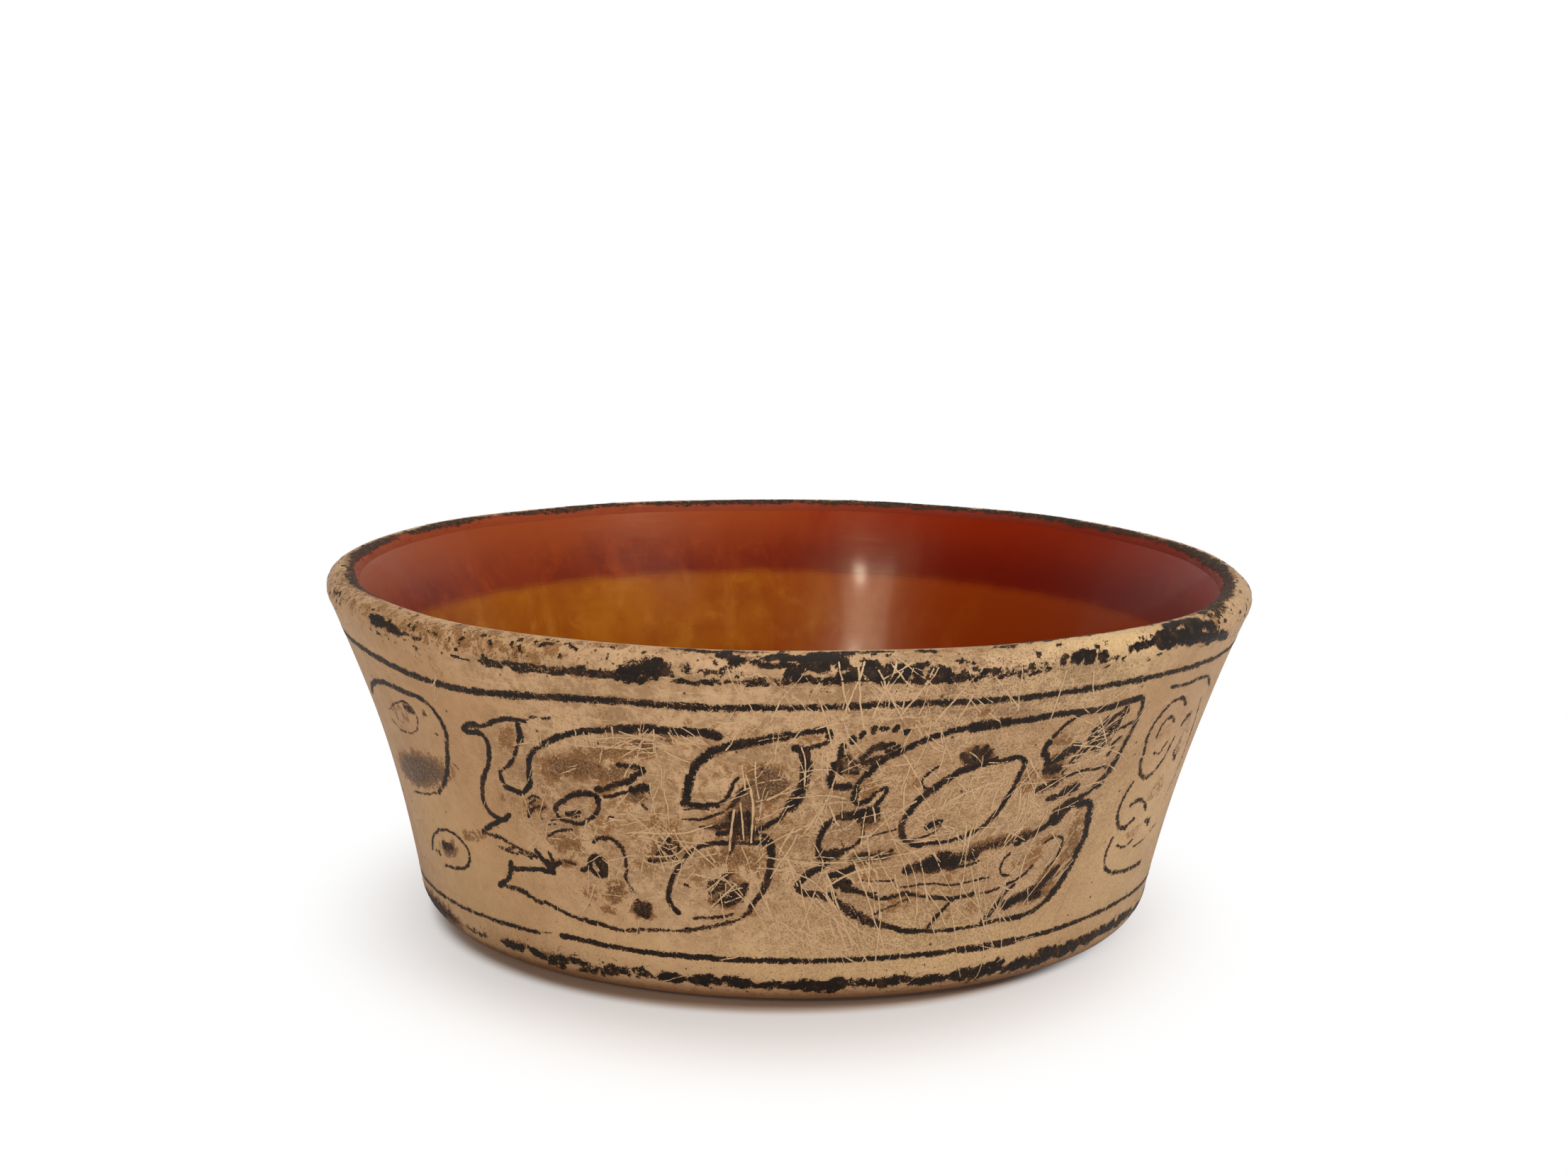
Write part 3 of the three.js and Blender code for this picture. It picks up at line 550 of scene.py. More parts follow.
LOWER_LINE = [
    (1.0, 0.84, -276.4, 10.3, -220, 10.6, -170, 9.9, -130, 9.5, -95, 9.7, -75, 9.9, -60, 10.2,
     -57.2, 10.3), (0.6, 0.5, -55.8, 10.6, -53.6, 10.8),
    (1.1, 0.95, -50.4, 10.8, -40, 10.6, -30, 10.3, -15, 10.4, 0, 10.4, 15, 10.5, 30, 10.5,
     40, 10.6), (1.35, 1.0, 39, 10.6, 45, 10.6, 53, 10.6),
    (1.0, 0.9, 52, 10.6, 60, 10.8, 75, 11.1, 90, 11.5, 120, 11.0, 170, 10.5, 220, 10.8,
     276.4, 10.3),
]

# What is left of the black band above the foot: the same columns as the washes
FOOT_PAINT = [
    (-66, 5.6, 5, 1.3, 0, 0.85), (-58, 5.4, 3.4, 1.2, 0, 0.9), (-53, 4.6, 3.5, 1.7, 20, 0.8),
    (-47, 5.6, 3.5, 1.2, 0, 0.8), (-44.5, 4.4, 3, 1.2, 20, 0.72), (-39.5, 4.8, 3, 1.6, 20, 0.8),
    (-35.5, 5.4, 4, 0.9, 0, 0.72), (-31, 5.3, 2.6, 0.8, 0, 0.72), (-24, 5.3, 4, 1.5, 0, 1.0),
    (-17, 5.2, 4, 1.6, 0, 1.0), (-10, 5.4, 4, 1.5, 0, 0.95), (-3, 5.3, 5, 1.2, 0, 0.95),
    (5, 5, 6, 1.4, 0, 1.0), (12, 4.9, 5, 1.6, 0, 0.95), (20, 5, 5, 1.4, 0, 0.95),
    (26, 5.2, 4, 1.2, 0, 0.8), (33, 4.6, 6, 1.5, 0, 0.9), (40, 5, 5, 1.8, 0, 0.92),
    (47, 5, 5, 2.0, 10, 0.9), (55, 4.9, 5, 1.9, 10, 0.88), (63, 5, 5, 1.9, 10, 0.85),
    (71, 5.2, 6, 1.7, 0, 0.82), (79, 5.7, 6, 1.5, 0, 0.78), (87, 6.2, 6, 1.4, 4, 0.75),
    (96, 6.5, 8, 1.3, 0, 0.75), (-80, 5.2, 5, 0.7, 0, 0.55), (-104, 5.4, 17, 1.9, 0, 0.5),
    (-150, 5.2, 34, 1.4, 0, 0.75), (-205, 5.2, 26, 1.3, 0, 0.85), (-250, 5.1, 24, 1.4, 0, 0.9),
    (130, 5.4, 30, 1.3, 0, 0.85), (178, 5.2, 22, 1.3, 0, 0.9), (222, 5.0, 26, 1.4, 0, 0.8),
    (262, 5.2, 18, 1.2, 0, 0.9),
]

# What is left of the black paint over the lip: the same columns, but in place of the height the way
# round the lip's section, from a line a little under the lip
LIP_BAND_START = 1.2
LIP_PAINT = [
    (5, 3.4, 16, 2.8, 0, 0.5), (-24, 2.4, 5, 2.6, 10, 0.5), (-40, 0.6, 15, 1.2, 0, 0.6),
    (38, 1.4, 9, 1.4, 0, 0.4), (2.5, 5.6, 7.5, 1.0, 0, 1.1), (10, 2.0, 9, 0.6, 0, 1.0),
    (14, 3.2, 1.6, 1.6, -20, 1.1), (24.5, 1.4, 3.4, 1.2, -10, 1.1), (-25, 2.6, 3.8, 0.9, 14, 1.15),
    (-35, 1.0, 5, 0.6, 0, 0.9), (-53.5, 0.3, 2.8, 1.3, 0, 0.72), (-47.3, 0.1, 2.6, 1.3, 0, 0.72),
    (-42, 0.4, 4.5, 0.9, 0, 0.62), (-37, 0.8, 3.2, 0.8, 12, 0.7), (-33.5, 1.2, 3.6, 1.1, 0, 0.72),
    (-29.5, 0.8, 3.2, 1.1, 0, 0.78), (-26.7, 1.6, 2.4, 1.6, 20, 0.95),
    (-22, 3.0, 2.5, 2.0, 15, 1.0), (-24.5, 0.2, 3.4, 0.5, 12, 0.8),
    (-18.3, 0.6, 1.3, 0.8, 0, 0.78), (-16, 0.4, 1.4, 0.8, 0, 0.78), (-13, 0.7, 2, 0.8, 0, 0.78),
    (-16.8, 3.1, 1, 1, 0, 0.5), (-8, 0.7, 2, 0.7, 0, 0.62), (-5, 0.7, 2, 0.8, 0, 0.66),
    (-14.5, 7.2, 4, 0.5, 0, 0.7), (-10, 6.2, 2.5, 0.9, -10, 0.9), (-8.3, 4.8, 1.8, 1.5, -30, 0.92),
    (-7.6, 3.9, 0.9, 1.0, 0, 0.92), (-5.6, 4.8, 0.5, 0.5, 0, 0.9), (-2.5, 4.3, 2.7, 0.7, 0, 1.0),
    (-1.5, 6, 3.2, 1.0, 0, 0.85), (0.8, 3.2, 1.8, 1.9, 0, 1.0), (5, 4.7, 6.4, 1.7, 0, 1.0),
    (7, 6.9, 5, 0.7, 0, 0.7), (2.5, 1.8, 2.6, 0.9, 0, 0.98), (8, 2, 3.2, 1.0, 0, 0.95),
    (5, 0.9, 6, 0.8, 0, 0.7), (12.3, 3.2, 2.8, 2.3, -20, 1.0), (17, 2.7, 3.4, 2.0, 0, 1.0),
    (17.5, 0.9, 3.6, 1.0, 0, 0.98), (21, 3.2, 1.7, 1.2, 0, 1.0), (21.5, 2.3, 1.1, 0.9, 0, 0.92),
    (23.2, 0.8, 2.8, 1.0, 0, 0.98), (25, 2.0, 2.1, 1.8, -20, 1.0), (27, 1.1, 3.2, 1.0, 0, 0.95),
    (22.7, 3.8, 0.5, 0.9, 0, 0.9), (28.5, 4.4, 1.2, 0.5, 8, 0.85), (28.6, 2.1, 0.8, 0.7, 0, 0.9),
    (31, 0.9, 2, 0.7, 0, 0.88), (33, 2.3, 1.2, 0.9, 20, 0.9), (34.8, 2.1, 0.9, 0.6, 0, 0.85),
    (31, 2.9, 0.9, 0.45, 0, 0.85), (35.6, 0.6, 0.9, 0.45, 0, 0.8), (37.8, 0.9, 1, 0.6, 50, 0.8),
    (39.8, 1.4, 1, 0.5, 0, 0.8), (41, 2.7, 0.6, 0.5, 0, 0.85), (42.5, 0.8, 1.2, 0.6, 0, 0.8),
    (43.8, 2.6, 0.7, 0.9, 40, 0.62), (44.8, 0.9, 1.1, 0.9, 30, 0.88), (48, 0.7, 0.6, 0.45, 0, 0.8),
    (48, 2.7, 0.8, 1, 0, 0.95), (52, 3.1, 2.8, 1.4, 0, 1.0), (56, 3, 1.3, 1.0, 0, 0.95),
    (80, 5.8, 7, 2.0, 0, 0.95), (58.6, 2.4, 1.4, 0.4, 0, 0.7), (47.8, 6.5, 0.9, 0.4, 0, 0.7),
    (66, 3.8, 4.4, 0.9, 4, 0.8), (73, 3.9, 4.5, 1.9, 0, 0.97), (82, 3.9, 9, 2.4, 0, 1.0),
    (94, 1.0, 6, 1.2, -20, 0.72), (88, 1.6, 5, 1.2, -8, 0.82), (-84.5, 3.6, 3.8, 1.2, -8, 0.92),
    (-79, 2.9, 4, 1.0, -8, 0.8), (-73, 2.8, 4, 0.45, -3, 0.66), (-109, 4.4, 2.6, 0.45, 0, 0.5),
    (-47, 5.8, 0.8, 0.6, 0, 0.9), (-42.2, 5.6, 2, 0.5, 15, 0.86), (-55.5, 5.6, 0.6, 0.45, 0, 0.8),
    (-31, 6.2, 1.5, 0.45, 0, 0.7), (-37, 5.8, 0.7, 0.4, 0, 0.7), (-59.5, 5.7, 0.6, 0.4, 0, 0.7),
    (-12, 7.6, 8, 0.5, 0, 0.66), (12, 7.4, 7, 0.45, 0, 0.66), (23, 7.3, 2, 0.6, 0, 0.8),
    (38, 7.4, 3, 0.5, 0, 0.62), (60, 9, 30, 0.9, 0, 0.5), (-112, 9.6, 22, 1.3, 0, 0.56),
    (-150, 9.7, 20, 1.4, 0, 0.6), (-185, 9.8, 18, 1.3, 0, 0.6), (-222, 9.8, 20, 1.3, 0, 0.6),
    (-262, 9.8, 24, 1.3, 0, 0.62), (112, 9.8, 24, 1.6, 0, 0.58), (152, 9.8, 28, 1.5, 0, 0.66),
    (205, 9.8, 34, 1.3, 0, 0.64), (252, 9.8, 30, 1.3, 0, 0.62), (95, 7.4, 7, 2.2, 0, 0.56),
    (108, 9.0, 9, 1.6, 0, 0.46), (124, 9.8, 12, 1.6, 0, 0.54), (-140, 3.4, 14, 1.6, 0, 0.7),
    (-190, 2.6, 22, 1.8, 4, 0.8), (-240, 3.4, 16, 2.2, 0, 0.9), (140, 3.0, 14, 1.9, -4, 0.8),
    (186, 2.4, 20, 1.4, 0, 0.72), (236, 3.6, 26, 2.0, 2, 0.86),
]

# Scraps of the lip's paint that have come off, in the same way
LIP_CHIPS = [
    (4.3, 2.45, 2.7, 0.42, -4, 1.0), (-3.2, 2.9, 2.6, 0.9, 0, 0.9), (-6.4, 3.2, 1.6, 1.4, 20, 0.9),
    (11.0, 5.6, 0.8, 1.8, 14, 1.0), (15.2, 4.4, 0.45, 1.2, 10, 1.0),
    (19.4, 4.6, 1.5, 0.6, -24, 0.9), (22.4, 2.5, 0.6, 1.0, -30, 0.9), (0.8, 5.0, 1.2, 0.3, 0, 0.8),
    (-3.0, 5.0, 1.0, 0.4, 0, 0.8), (7.2, 3.4, 0.5, 1.2, -14, 0.7), (78, 5.4, 2.2, 0.5, 20, 0.8),
    (86, 3.4, 1.6, 0.6, -10, 0.8), (51, 2.0, 0.5, 0.6, 0, 0.7), (54.3, 3.1, 0.3, 1.4, 0, 0.9),
    (-133, 4.0, 3, 0.5, 10, 0.9), (-146, 3.0, 2, 0.8, -20, 0.9), (-178, 3.0, 4, 0.5, 8, 0.9),
    (-190, 2.2, 1.2, 1.4, 10, 0.9), (-203, 3.0, 3, 0.6, 0, 0.9), (-234, 4.2, 3, 0.7, -10, 0.9),
    (-246, 3.0, 1.4, 1.3, 12, 0.9), (133, 3.4, 2.4, 0.6, 0, 0.9), (146, 2.6, 1.4, 1.2, 16, 0.9),
    (178, 2.6, 2.6, 0.5, 0, 0.9), (193, 2.2, 1.6, 1.1, -14, 0.9), (224, 4.2, 3.4, 0.6, 6, 0.9),
    (238, 3.4, 1.4, 1.4, -12, 0.9), (250, 3.0, 3, 0.6, 0, 0.9),
]

# Brown of the paint that has soaked into the lip, in the same way
LIP_STAIN = [
    (-108, 9.0, 24, 2.2, 0, 0.62), (-146, 9.4, 24, 2.2, 0, 0.7), (-190, 9.8, 28, 1.7, 0, 0.72),
    (-232, 9.8, 26, 1.6, 0, 0.72), (-268, 9.8, 24, 1.6, 0, 0.74), (104, 9.4, 20, 2.4, 0, 0.7),
    (136, 9.6, 20, 2.2, 0, 0.66), (172, 9.8, 26, 1.9, 0, 0.7), (214, 9.8, 26, 1.7, 0, 0.72),
    (250, 9.8, 26, 1.6, 0, 0.74), (-100, 6.0, 30, 3.6, 0, 0.4), (-60, 5.0, 28, 4.4, 0, 0.46),
    (-20, 7.2, 26, 1.6, 0, 0.4), (26, 7.6, 14, 1.2, 0, 0.32), (84, 4.6, 12, 3.2, 0, 0.36),
    (4, 1.0, 27, 1.6, 0, 0.3), (-8, 6.2, 8, 1.6, 0, 0.3), (-40, 0.4, 18, 1.8, 0, 0.42),
    (-44, 4.4, 14, 2.0, 0, 0.42), (-80, 3.2, 10, 2.0, 0, 0.42),
]

# Dirt on the slip that belongs to no figure
DIRT = [
    (-102, 5, 17, 3.2, 0, 0.8), (-60, 6, 14, 2, 0, 0.3), (8, 5, 22, 2, 0, 0.25),
    (70, 5, 20, 2, 0, 0.4), (-70, 66, 6, 3, 0, 0.3), (30, 12, 20, 2, 0, 0.15),
    (-95, 60, 20, 4, 0, 0.2), (-170, 30, 22, 14, 20, 0.35), (170, 20, 24, 9, 0, 0.35),
    (250, 50, 22, 10, -10, 0.3), (-235, 22, 20, 9, 10, 0.3), (-30, 40, 24, 15, 0, 0.27),
    (-8, 40, 13, 17, 0, 0.33), (-14, 57, 22, 6, 0, 0.26), (3, 56, 8, 5, 0, 0.2),
]

# Where the smooth skin of the slip is worn through, and dark specks and rootlet marks show
WORN = [
    (-18, 46, 46, 28, 0, 1.0), (36, 42, 44, 30, 0, 0.5), (-22, 66, 44, 8, 0, 0.9),
    (30, 66, 46, 9, 0, 0.9), (10, 20, 60, 12, 0, 0.5), (232, 40, 70, 34, 0, 0.8),
    (-190, 44, 40, 26, 0, 0.5),
]

# Painted light and cleaner slip: the slip is painted paler and warmer, low on both sides
CLEAN_AND_LIT = [
    (86, 24, 26, 22, 0, 0.7), (-82, 20, 24, 18, 0, 0.6), (57, 70, 20, 8, 0, 1.6),
    (24, 12, 46, 9, 0, 1.1), (-30, 12, 30, 5, 0, 0.6), (170, 24, 40, 20, 0, 0.6),
    (-160, 20, 40, 16, 0, 0.5), (252, 14, 40, 10, 0, 0.6),
]

# Rootlet marks by cluster: x, z, spread along and up, direction and its spread in degrees, number,
# shortest and longest
ROOTLETS = [
    (22, 21, 14, 8, -66, 14, 34, 8, 26), (42, 22, 9, 7, -62, 16, 22, 6, 20),
    (6, 21, 7, 7, -72, 12, 16, 6, 18), (-6, 40, 3, 7, 84, 12, 12, 6, 16),
    (3, 66, 7, 4, -78, 22, 26, 4, 12), (20, 67, 8, 4, -70, 24, 24, 4, 12),
    (36, 66, 8, 4, -60, 24, 18, 4, 11), (33, 43, 6, 5, 30, 60, 34, 3, 9),
    (40, 35.5, 5, 1.5, 85, 25, 14, 2, 4.5), (36, 35.5, 6, 0.8, 4, 10, 8, 4, 10),
    (63, 50, 5, 4, 12, 22, 30, 5, 14), (66, 54, 5, 3, 40, 14, 16, 4, 10),
    (60, 44, 6, 3, -20, 20, 12, 4, 10), (48, 39, 3, 6, 78, 16, 12, 6, 14),
    (8, 31.5, 8, 1, 3, 6, 7, 8, 22), (12, 36, 6, 4, 30, 30, 18, 3, 8),
    (12, 47, 5, 5, 88, 20, 16, 3, 8), (6, 52, 4, 6, -76, 22, 14, 4, 10),
    (-4, 47, 5, 5, 30, 16, 14, 6, 15), (-28, 54.5, 6, 1.6, 6, 16, 18, 4, 11),
    (-34, 55, 3, 1.4, 84, 10, 12, 1.5, 3.5), (-25, 50, 3, 4, 80, 22, 14, 3, 8),
    (-23, 33, 4, 4, 30, 60, 30, 2.5, 7), (-26, 38, 6, 4, 20, 30, 16, 3, 9),
    (-12, 25, 4, 4, 45, 50, 26, 2, 6), (-12, 30, 6, 3, 20, 40, 16, 3, 8),
    (-36, 24, 7, 4, 70, 40, 20, 3, 8), (-40, 36, 8, 3, 10, 30, 14, 3, 10),
    (-46, 47, 5, 3, 60, 40, 10, 2, 5), (-20, 58, 4, 2, -60, 24, 12, 2, 6),
    (-45, 30, 8, 4, 35, 40, 10, 3, 9), (28, 52, 9, 5, -40, 40, 20, 3, 10),
    (15, 58, 6, 3, -60, 30, 14, 2, 6), (52, 27, 8, 6, 45, 30, 16, 4, 12),
    (60, 20, 5, 5, 50, 20, 12, 4, 10), (-55, 33, 6, 5, 20, 40, 6, 3, 8),
    (0, 12, 20, 3, -60, 40, 12, 4, 10), (45, 13, 14, 3, -40, 40, 10, 4, 10),
    (30, 6, 30, 2.5, 35, 30, 12, 3, 8), (-71, 62, 1, 2, 42, 8, 4, 5, 9),
    (46, 67, 5, 3, -50, 20, 8, 4, 9), (-10, 60.5, 12, 2, 20, 40, 14, 2, 6),
    (228, 40, 38, 16, -60, 50, 190, 3, 16), (-200, 44, 30, 14, 40, 50, 110, 3, 14),
    (150, 30, 20, 14, 20, 50, 30, 3, 12), (-130, 40, 16, 16, 60, 50, 14, 3, 12),
]

# Longer rootlet marks that stand out, drawn like strokes
ROOT_LINES = [
    (0.5, 1.0, -6.4, 46.5, -6, 44, -6.3, 40, -6.6, 35.8),
    (0.5, 1.0, -9.7, 42.5, -10.4, 38, -10.6, 34), (0.45, 1.0, -8.5, 44, -8.2, 40, -7.8, 36.2),
    (0.45, 0.9, -7.2, 50, -6.3, 46), (0.4, 0.9, -8, 52, -7.4, 47),
    (0.5, 0.9, 13.5, 31.5, 16, 26, 19, 18.5, 22, 11.5), (0.45, 0.9, 8.5, 29, 11, 22, 14.5, 13.5),
    (0.4, 0.8, 9, 24, 11, 18.5, 13.5, 12.5), (0.4, 0.8, 3, 28.5, 4, 23, 5.6, 16.5),
    (0.4, 0.8, 22, 28.4, 24.4, 22), (0.45, 0.85, 27, 31.6, 29.8, 22.4),
    (0.4, 0.8, 30.5, 20, 32.6, 14.3), (0.45, 0.85, 38.4, 28.8, 41, 22, 44.2, 15.6, 47.6, 10.3),
    (0.4, 0.8, 35.8, 19.5, 37.6, 13.6), (0.45, 0.85, -3.6, 23.4, -1.6, 17.6, 1.4, 12),
    (0.4, 0.8, -7.5, 24, -4, 18, -2.5, 13), (0.4, 0.8, 40.5, 26, 42.5, 20.5),
    (0.35, 0.8, 16.2, 29.4, 18, 25, 18.8, 20.6), (0.5, 1.0, 12.2, 73, 10.6, 67, 9, 61.5),
    (0.45, 1.0, 11.2, 72, 11.9, 66, 13, 60), (0.45, 1.0, 17.6, 73, 15.8, 67.5, 14.4, 62),
    (0.45, 0.95, 14.5, 71.5, 17, 66.5, 19.4, 61.6), (0.5, 1.0, 24.6, 71.6, 22, 67, 19.4, 62.6),
    (0.4, 0.9, 8, 73, 9, 68, 10.2, 63.5), (0.45, 0.9, 31.2, 70, 28.6, 65.6, 26.4, 62),
    (0.5, 0.9, 34.8, 69.4, 38, 65.6, 40.6, 62.8), (0.4, 0.85, 39.5, 71, 40.2, 66, 41, 61.8),
    (0.45, 0.9, 48.6, 69, 48.8, 64, 48.5, 59), (0.4, 0.9, 54.6, 69, 56, 65.4, 57, 63.2),
    (0.4, 0.9, 20, 72.6, 15.6, 70), (0.4, 0.9, 23.8, 72, 22.6, 68.6),
    (0.45, 0.9, 5, 66, 6.6, 61, 7.8, 56), (0.4, 0.85, 2, 65.4, 4.6, 61.2),
    (0.4, 0.85, 31.6, 66, 30, 61.4), (0.45, 0.9, 28.8, 66, 25.4, 60.4),
    (0.4, 0.8, -3.4, 32.6, 6, 31.6, 16, 31.8, 26, 33.2),
    (0.5, 1.0, 8.6, 26.4, 11.4, 28.2, 14.6, 29.6, 18.5, 30.2), (0.45, 0.9, 16, 31.5, 18.2, 29.2),
    (0.4, 0.9, 13.2, 32.2, 15.4, 29), (0.45, 0.9, 66, 50, 61.5, 51.5, 56, 52.6),
    (0.4, 0.9, 66, 50, 60, 48.6, 54.5, 48.2), (0.4, 0.9, 66, 50, 70, 53, 74.5, 58.5),
    (0.4, 0.85, 66.4, 50, 70, 48.6, 74, 46), (0.45, 0.9, 66, 50, 63.5, 53.6, 60.4, 58),
    (0.4, 0.85, 65.6, 50, 62, 45.6, 57.6, 41.4), (0.4, 0.85, 66, 50.4, 67.2, 54.6, 67.8, 59),
    (0.35, 0.85, 58, 53.8, 69, 57.4), (0.4, 0.85, 56, 50.2, 69, 50.8),
    (0.4, 0.85, 57.8, 46.8, 50.4, 43.4), (0.45, 0.9, 46.5, 50.6, 49, 47.4, 52, 44.8),
    (0.4, 0.8, 47.8, 42, 47.2, 37.5, 45.2, 33), (0.4, 0.8, 49.4, 42.4, 49, 37.4, 47.4, 33.6),
    (0.5, 0.85, 35.6, 36.8, 36.2, 33.6), (0.5, 0.85, 36.8, 36.6, 36.9, 33.2),
    (0.4, 0.85, 33.8, 37.2, 34.6, 34), (0.4, 0.7, 27, 40.8, 33, 44.6, 39, 46.8),
    (0.4, 0.75, 31.6, 46.6, 30, 43.2), (0.35, 0.75, 34.6, 47.4, 36.2, 43.6),
    (0.35, 0.75, 38.4, 47.2, 36.8, 42.2), (0.4, 0.85, 2.6, 56, 3.4, 51.8, 3.2, 47.4),
    (0.4, 0.85, 0.4, 56.8, 2.4, 59.8), (0.4, 0.85, -5.4, 44.4, 2.6, 47.6, 6, 50),
    (0.4, 0.8, 15.6, 36.6, 20, 41, 24.4, 44.2), (0.4, 0.8, 9, 50, 7.4, 44.6, 5.6, 40),
    (0.35, 0.8, 10.8, 52.4, 12.6, 54.6), (0.35, 0.8, 9.8, 51, 13, 52.4),
    (0.4, 0.8, 13.6, 46.6, 18.6, 48.4), (0.4, 0.85, 16.2, 43.4, 17, 40.2),
    (0.4, 0.9, -29.8, 57.4, -24, 56.2, -20.5, 55.2),
    (0.4, 0.85, -39.4, 53.4, -33, 53.8, -27.4, 54.6), (0.4, 0.8, -26, 55.8, -27.6, 51.4),
    (0.4, 0.8, -25.4, 47, -25, 40.5), (0.35, 0.9, -37, 56.4, -36.8, 53.8),
    (0.35, 0.9, -36, 56.6, -35.9, 53.9), (0.35, 0.8, -35.2, 56.4, -34.8, 54.4),
    (0.4, 0.8, -33.8, 53.4, -34.8, 50.6), (0.4, 0.8, -53.4, 51.4, -49.5, 52.6),
    (0.35, 0.8, -48, 52.8, -46.4, 52), (0.4, 0.9, -31, 36, -20, 37, -14, 39),
    (0.45, 0.9, -27.4, 31.4, -22, 32, -19.6, 33.8), (0.4, 0.85, -26, 35.6, -23.2, 31.2),
    (0.4, 0.85, -24.4, 36.4, -20.6, 31), (0.4, 0.8, -21.4, 37.6, -24.6, 33.6),
    (0.4, 0.85, -15.6, 25, -11.4, 28.6), (0.4, 0.85, -14.8, 21.4, -9.6, 26.6),
    (0.4, 0.8, -12, 27.8, -7.4, 22.6), (0.4, 0.8, -33, 25.6, -31.2, 23),
    (0.45, 0.9, -71.6, 60.8, -69.4, 63.2), (0.4, 0.8, -18, 34.4, -13.4, 30),
    (0.4, 0.8, -30, 31.5, -36, 29.2), (0.4, 0.85, 56.8, 33.6, 60.6, 29.8),
    (0.4, 0.8, 47.8, 24.4, 44.4, 17.4), (0.4, 0.8, 52, 24.6, 46, 16),
    (0.45, 0.75, 63.4, 33, 59, 25.4, 53.6, 18.6), (0.4, 0.8, -49.6, 58.6, -44, 56.2),
    (0.4, 0.8, -19.4, 60.4, -14.4, 56.4), (0.4, 0.8, -10.6, 55, -8.6, 58.6),
]


# Lengths under this count as none.
TINY = 1e-6


def smooth_line(points, step):
    """A curve through the points, in even steps. It closes where the last point is the first."""
    points = np.asarray(points, float)
    closed = len(points) > 3 and np.allclose(points[0], points[-1])
    before = points[-2] if closed else 2 * points[0] - points[1]
    after = points[1] if closed else 2 * points[-1] - points[-2]
    knots = np.vstack([before, points, after])
    line = []
    for a, b, c, d in zip(knots, knots[1:], knots[2:], knots[3:]):
        bend, twist = 2 * a - 5 * b + 4 * c - d, 3 * b - a - 3 * c + d
        for t in np.arange(0, 1, min(0.5, step / max(step, np.hypot(*(c - b))))):
            line.append(0.5 * (2 * b + (c - a) * t + bend * t**2 + twist * t**3))
    return np.array(line + [points[-1]])


def uneven(random, length, spacing, amount):
    """A value that wanders about 1 along a stroke, from knots with this spacing."""
    count = max(2, int(length[-1] / spacing) + 2)
    knots = np.linspace(0, length[-1] + TINY, count)
    return 1 + amount * np.interp(length, knots, random.uniform(-1, 1, count))


# A stroke's end is round: how far out each extra section lies, and how wide it is there
ROUND_END = ((1.0, 0.1), (0.85, 0.52), (0.5, 0.87))
# Sections of a stroke lie this far apart. Its ragged edges need a strip wider than the stroke.
STROKE_STEP = 0.5
STROKE_SPREAD = 1.38
# Spacing of the knots from which a stroke's edges, its line and its ink wander
EDGE_KNOTS, LINE_KNOTS, INK_KNOTS = 1.4, 2.0, 2.2
INK_WANDER = 0.1
# Towards the sides of the bowl, strokes lose a share of their ink between these two distances.
SIDE_WEAR = 0.2
SIDE_WEAR_FROM, SIDE_WEAR_TO = 52, 95
# Strokes that cross lie in layers, each a hair higher than the one before.
LAYERS, LAYER_LIFT = 12, 0.0012


def gaps_between(line):
    return np.hypot(*(line[1:] - line[:-1]).T)


def strip(width, line, random, rough):
    """A stroke's two edges on the unrolled wall, and how far along it each section lies."""
    gaps = gaps_between(line)
    start, end = (line[1] - line[0]) / gaps[0], (line[-1] - line[-2]) / gaps[-1]
    half = width / 2
    head = [line[0] - start * half * far for far, _ in ROUND_END]
    tail = [line[-1] + end * half * far for far, _ in reversed(ROUND_END)]
    middle = np.vstack([head, line, tail])
    narrowed = [share for _, share in ROUND_END]
    share = np.array(narrowed + [1.0] * len(line) + narrowed[::-1])
    direction = np.gradient(middle, axis=0)
    direction /= np.maximum(np.hypot(*direction.T), TINY)[:, None]
    side = np.stack([-direction[:, 1], direction[:, 0]], -1)
    length = np.concatenate([[0], np.cumsum(gaps_between(middle))])
    reach = half * share * uneven(random, length, EDGE_KNOTS, rough)
    offset = side * reach[:, None]
    offset[:, 0] *= UNROLL_RADIUS / outer_radius(middle[:, 1])
    return middle + offset, middle - offset, length


# The outside of the slip, and where paint starts, out of the clay
SLIP_FACE = GAP + SLIP
PAINT_FOOT = 2 * GAP + SLIP


def on_wall(flat, film):
    """Points of the unrolled wall, on the slip and a film's thickness proud of it."""
    angle = flat[:, 0] / UNROLL_RADIUS
    radius = outer_radius(flat[:, 1], PAINT_FOOT + film)
    return np.stack([radius * np.sin(angle), -radius * np.cos(angle), flat[:, 1]], -1)


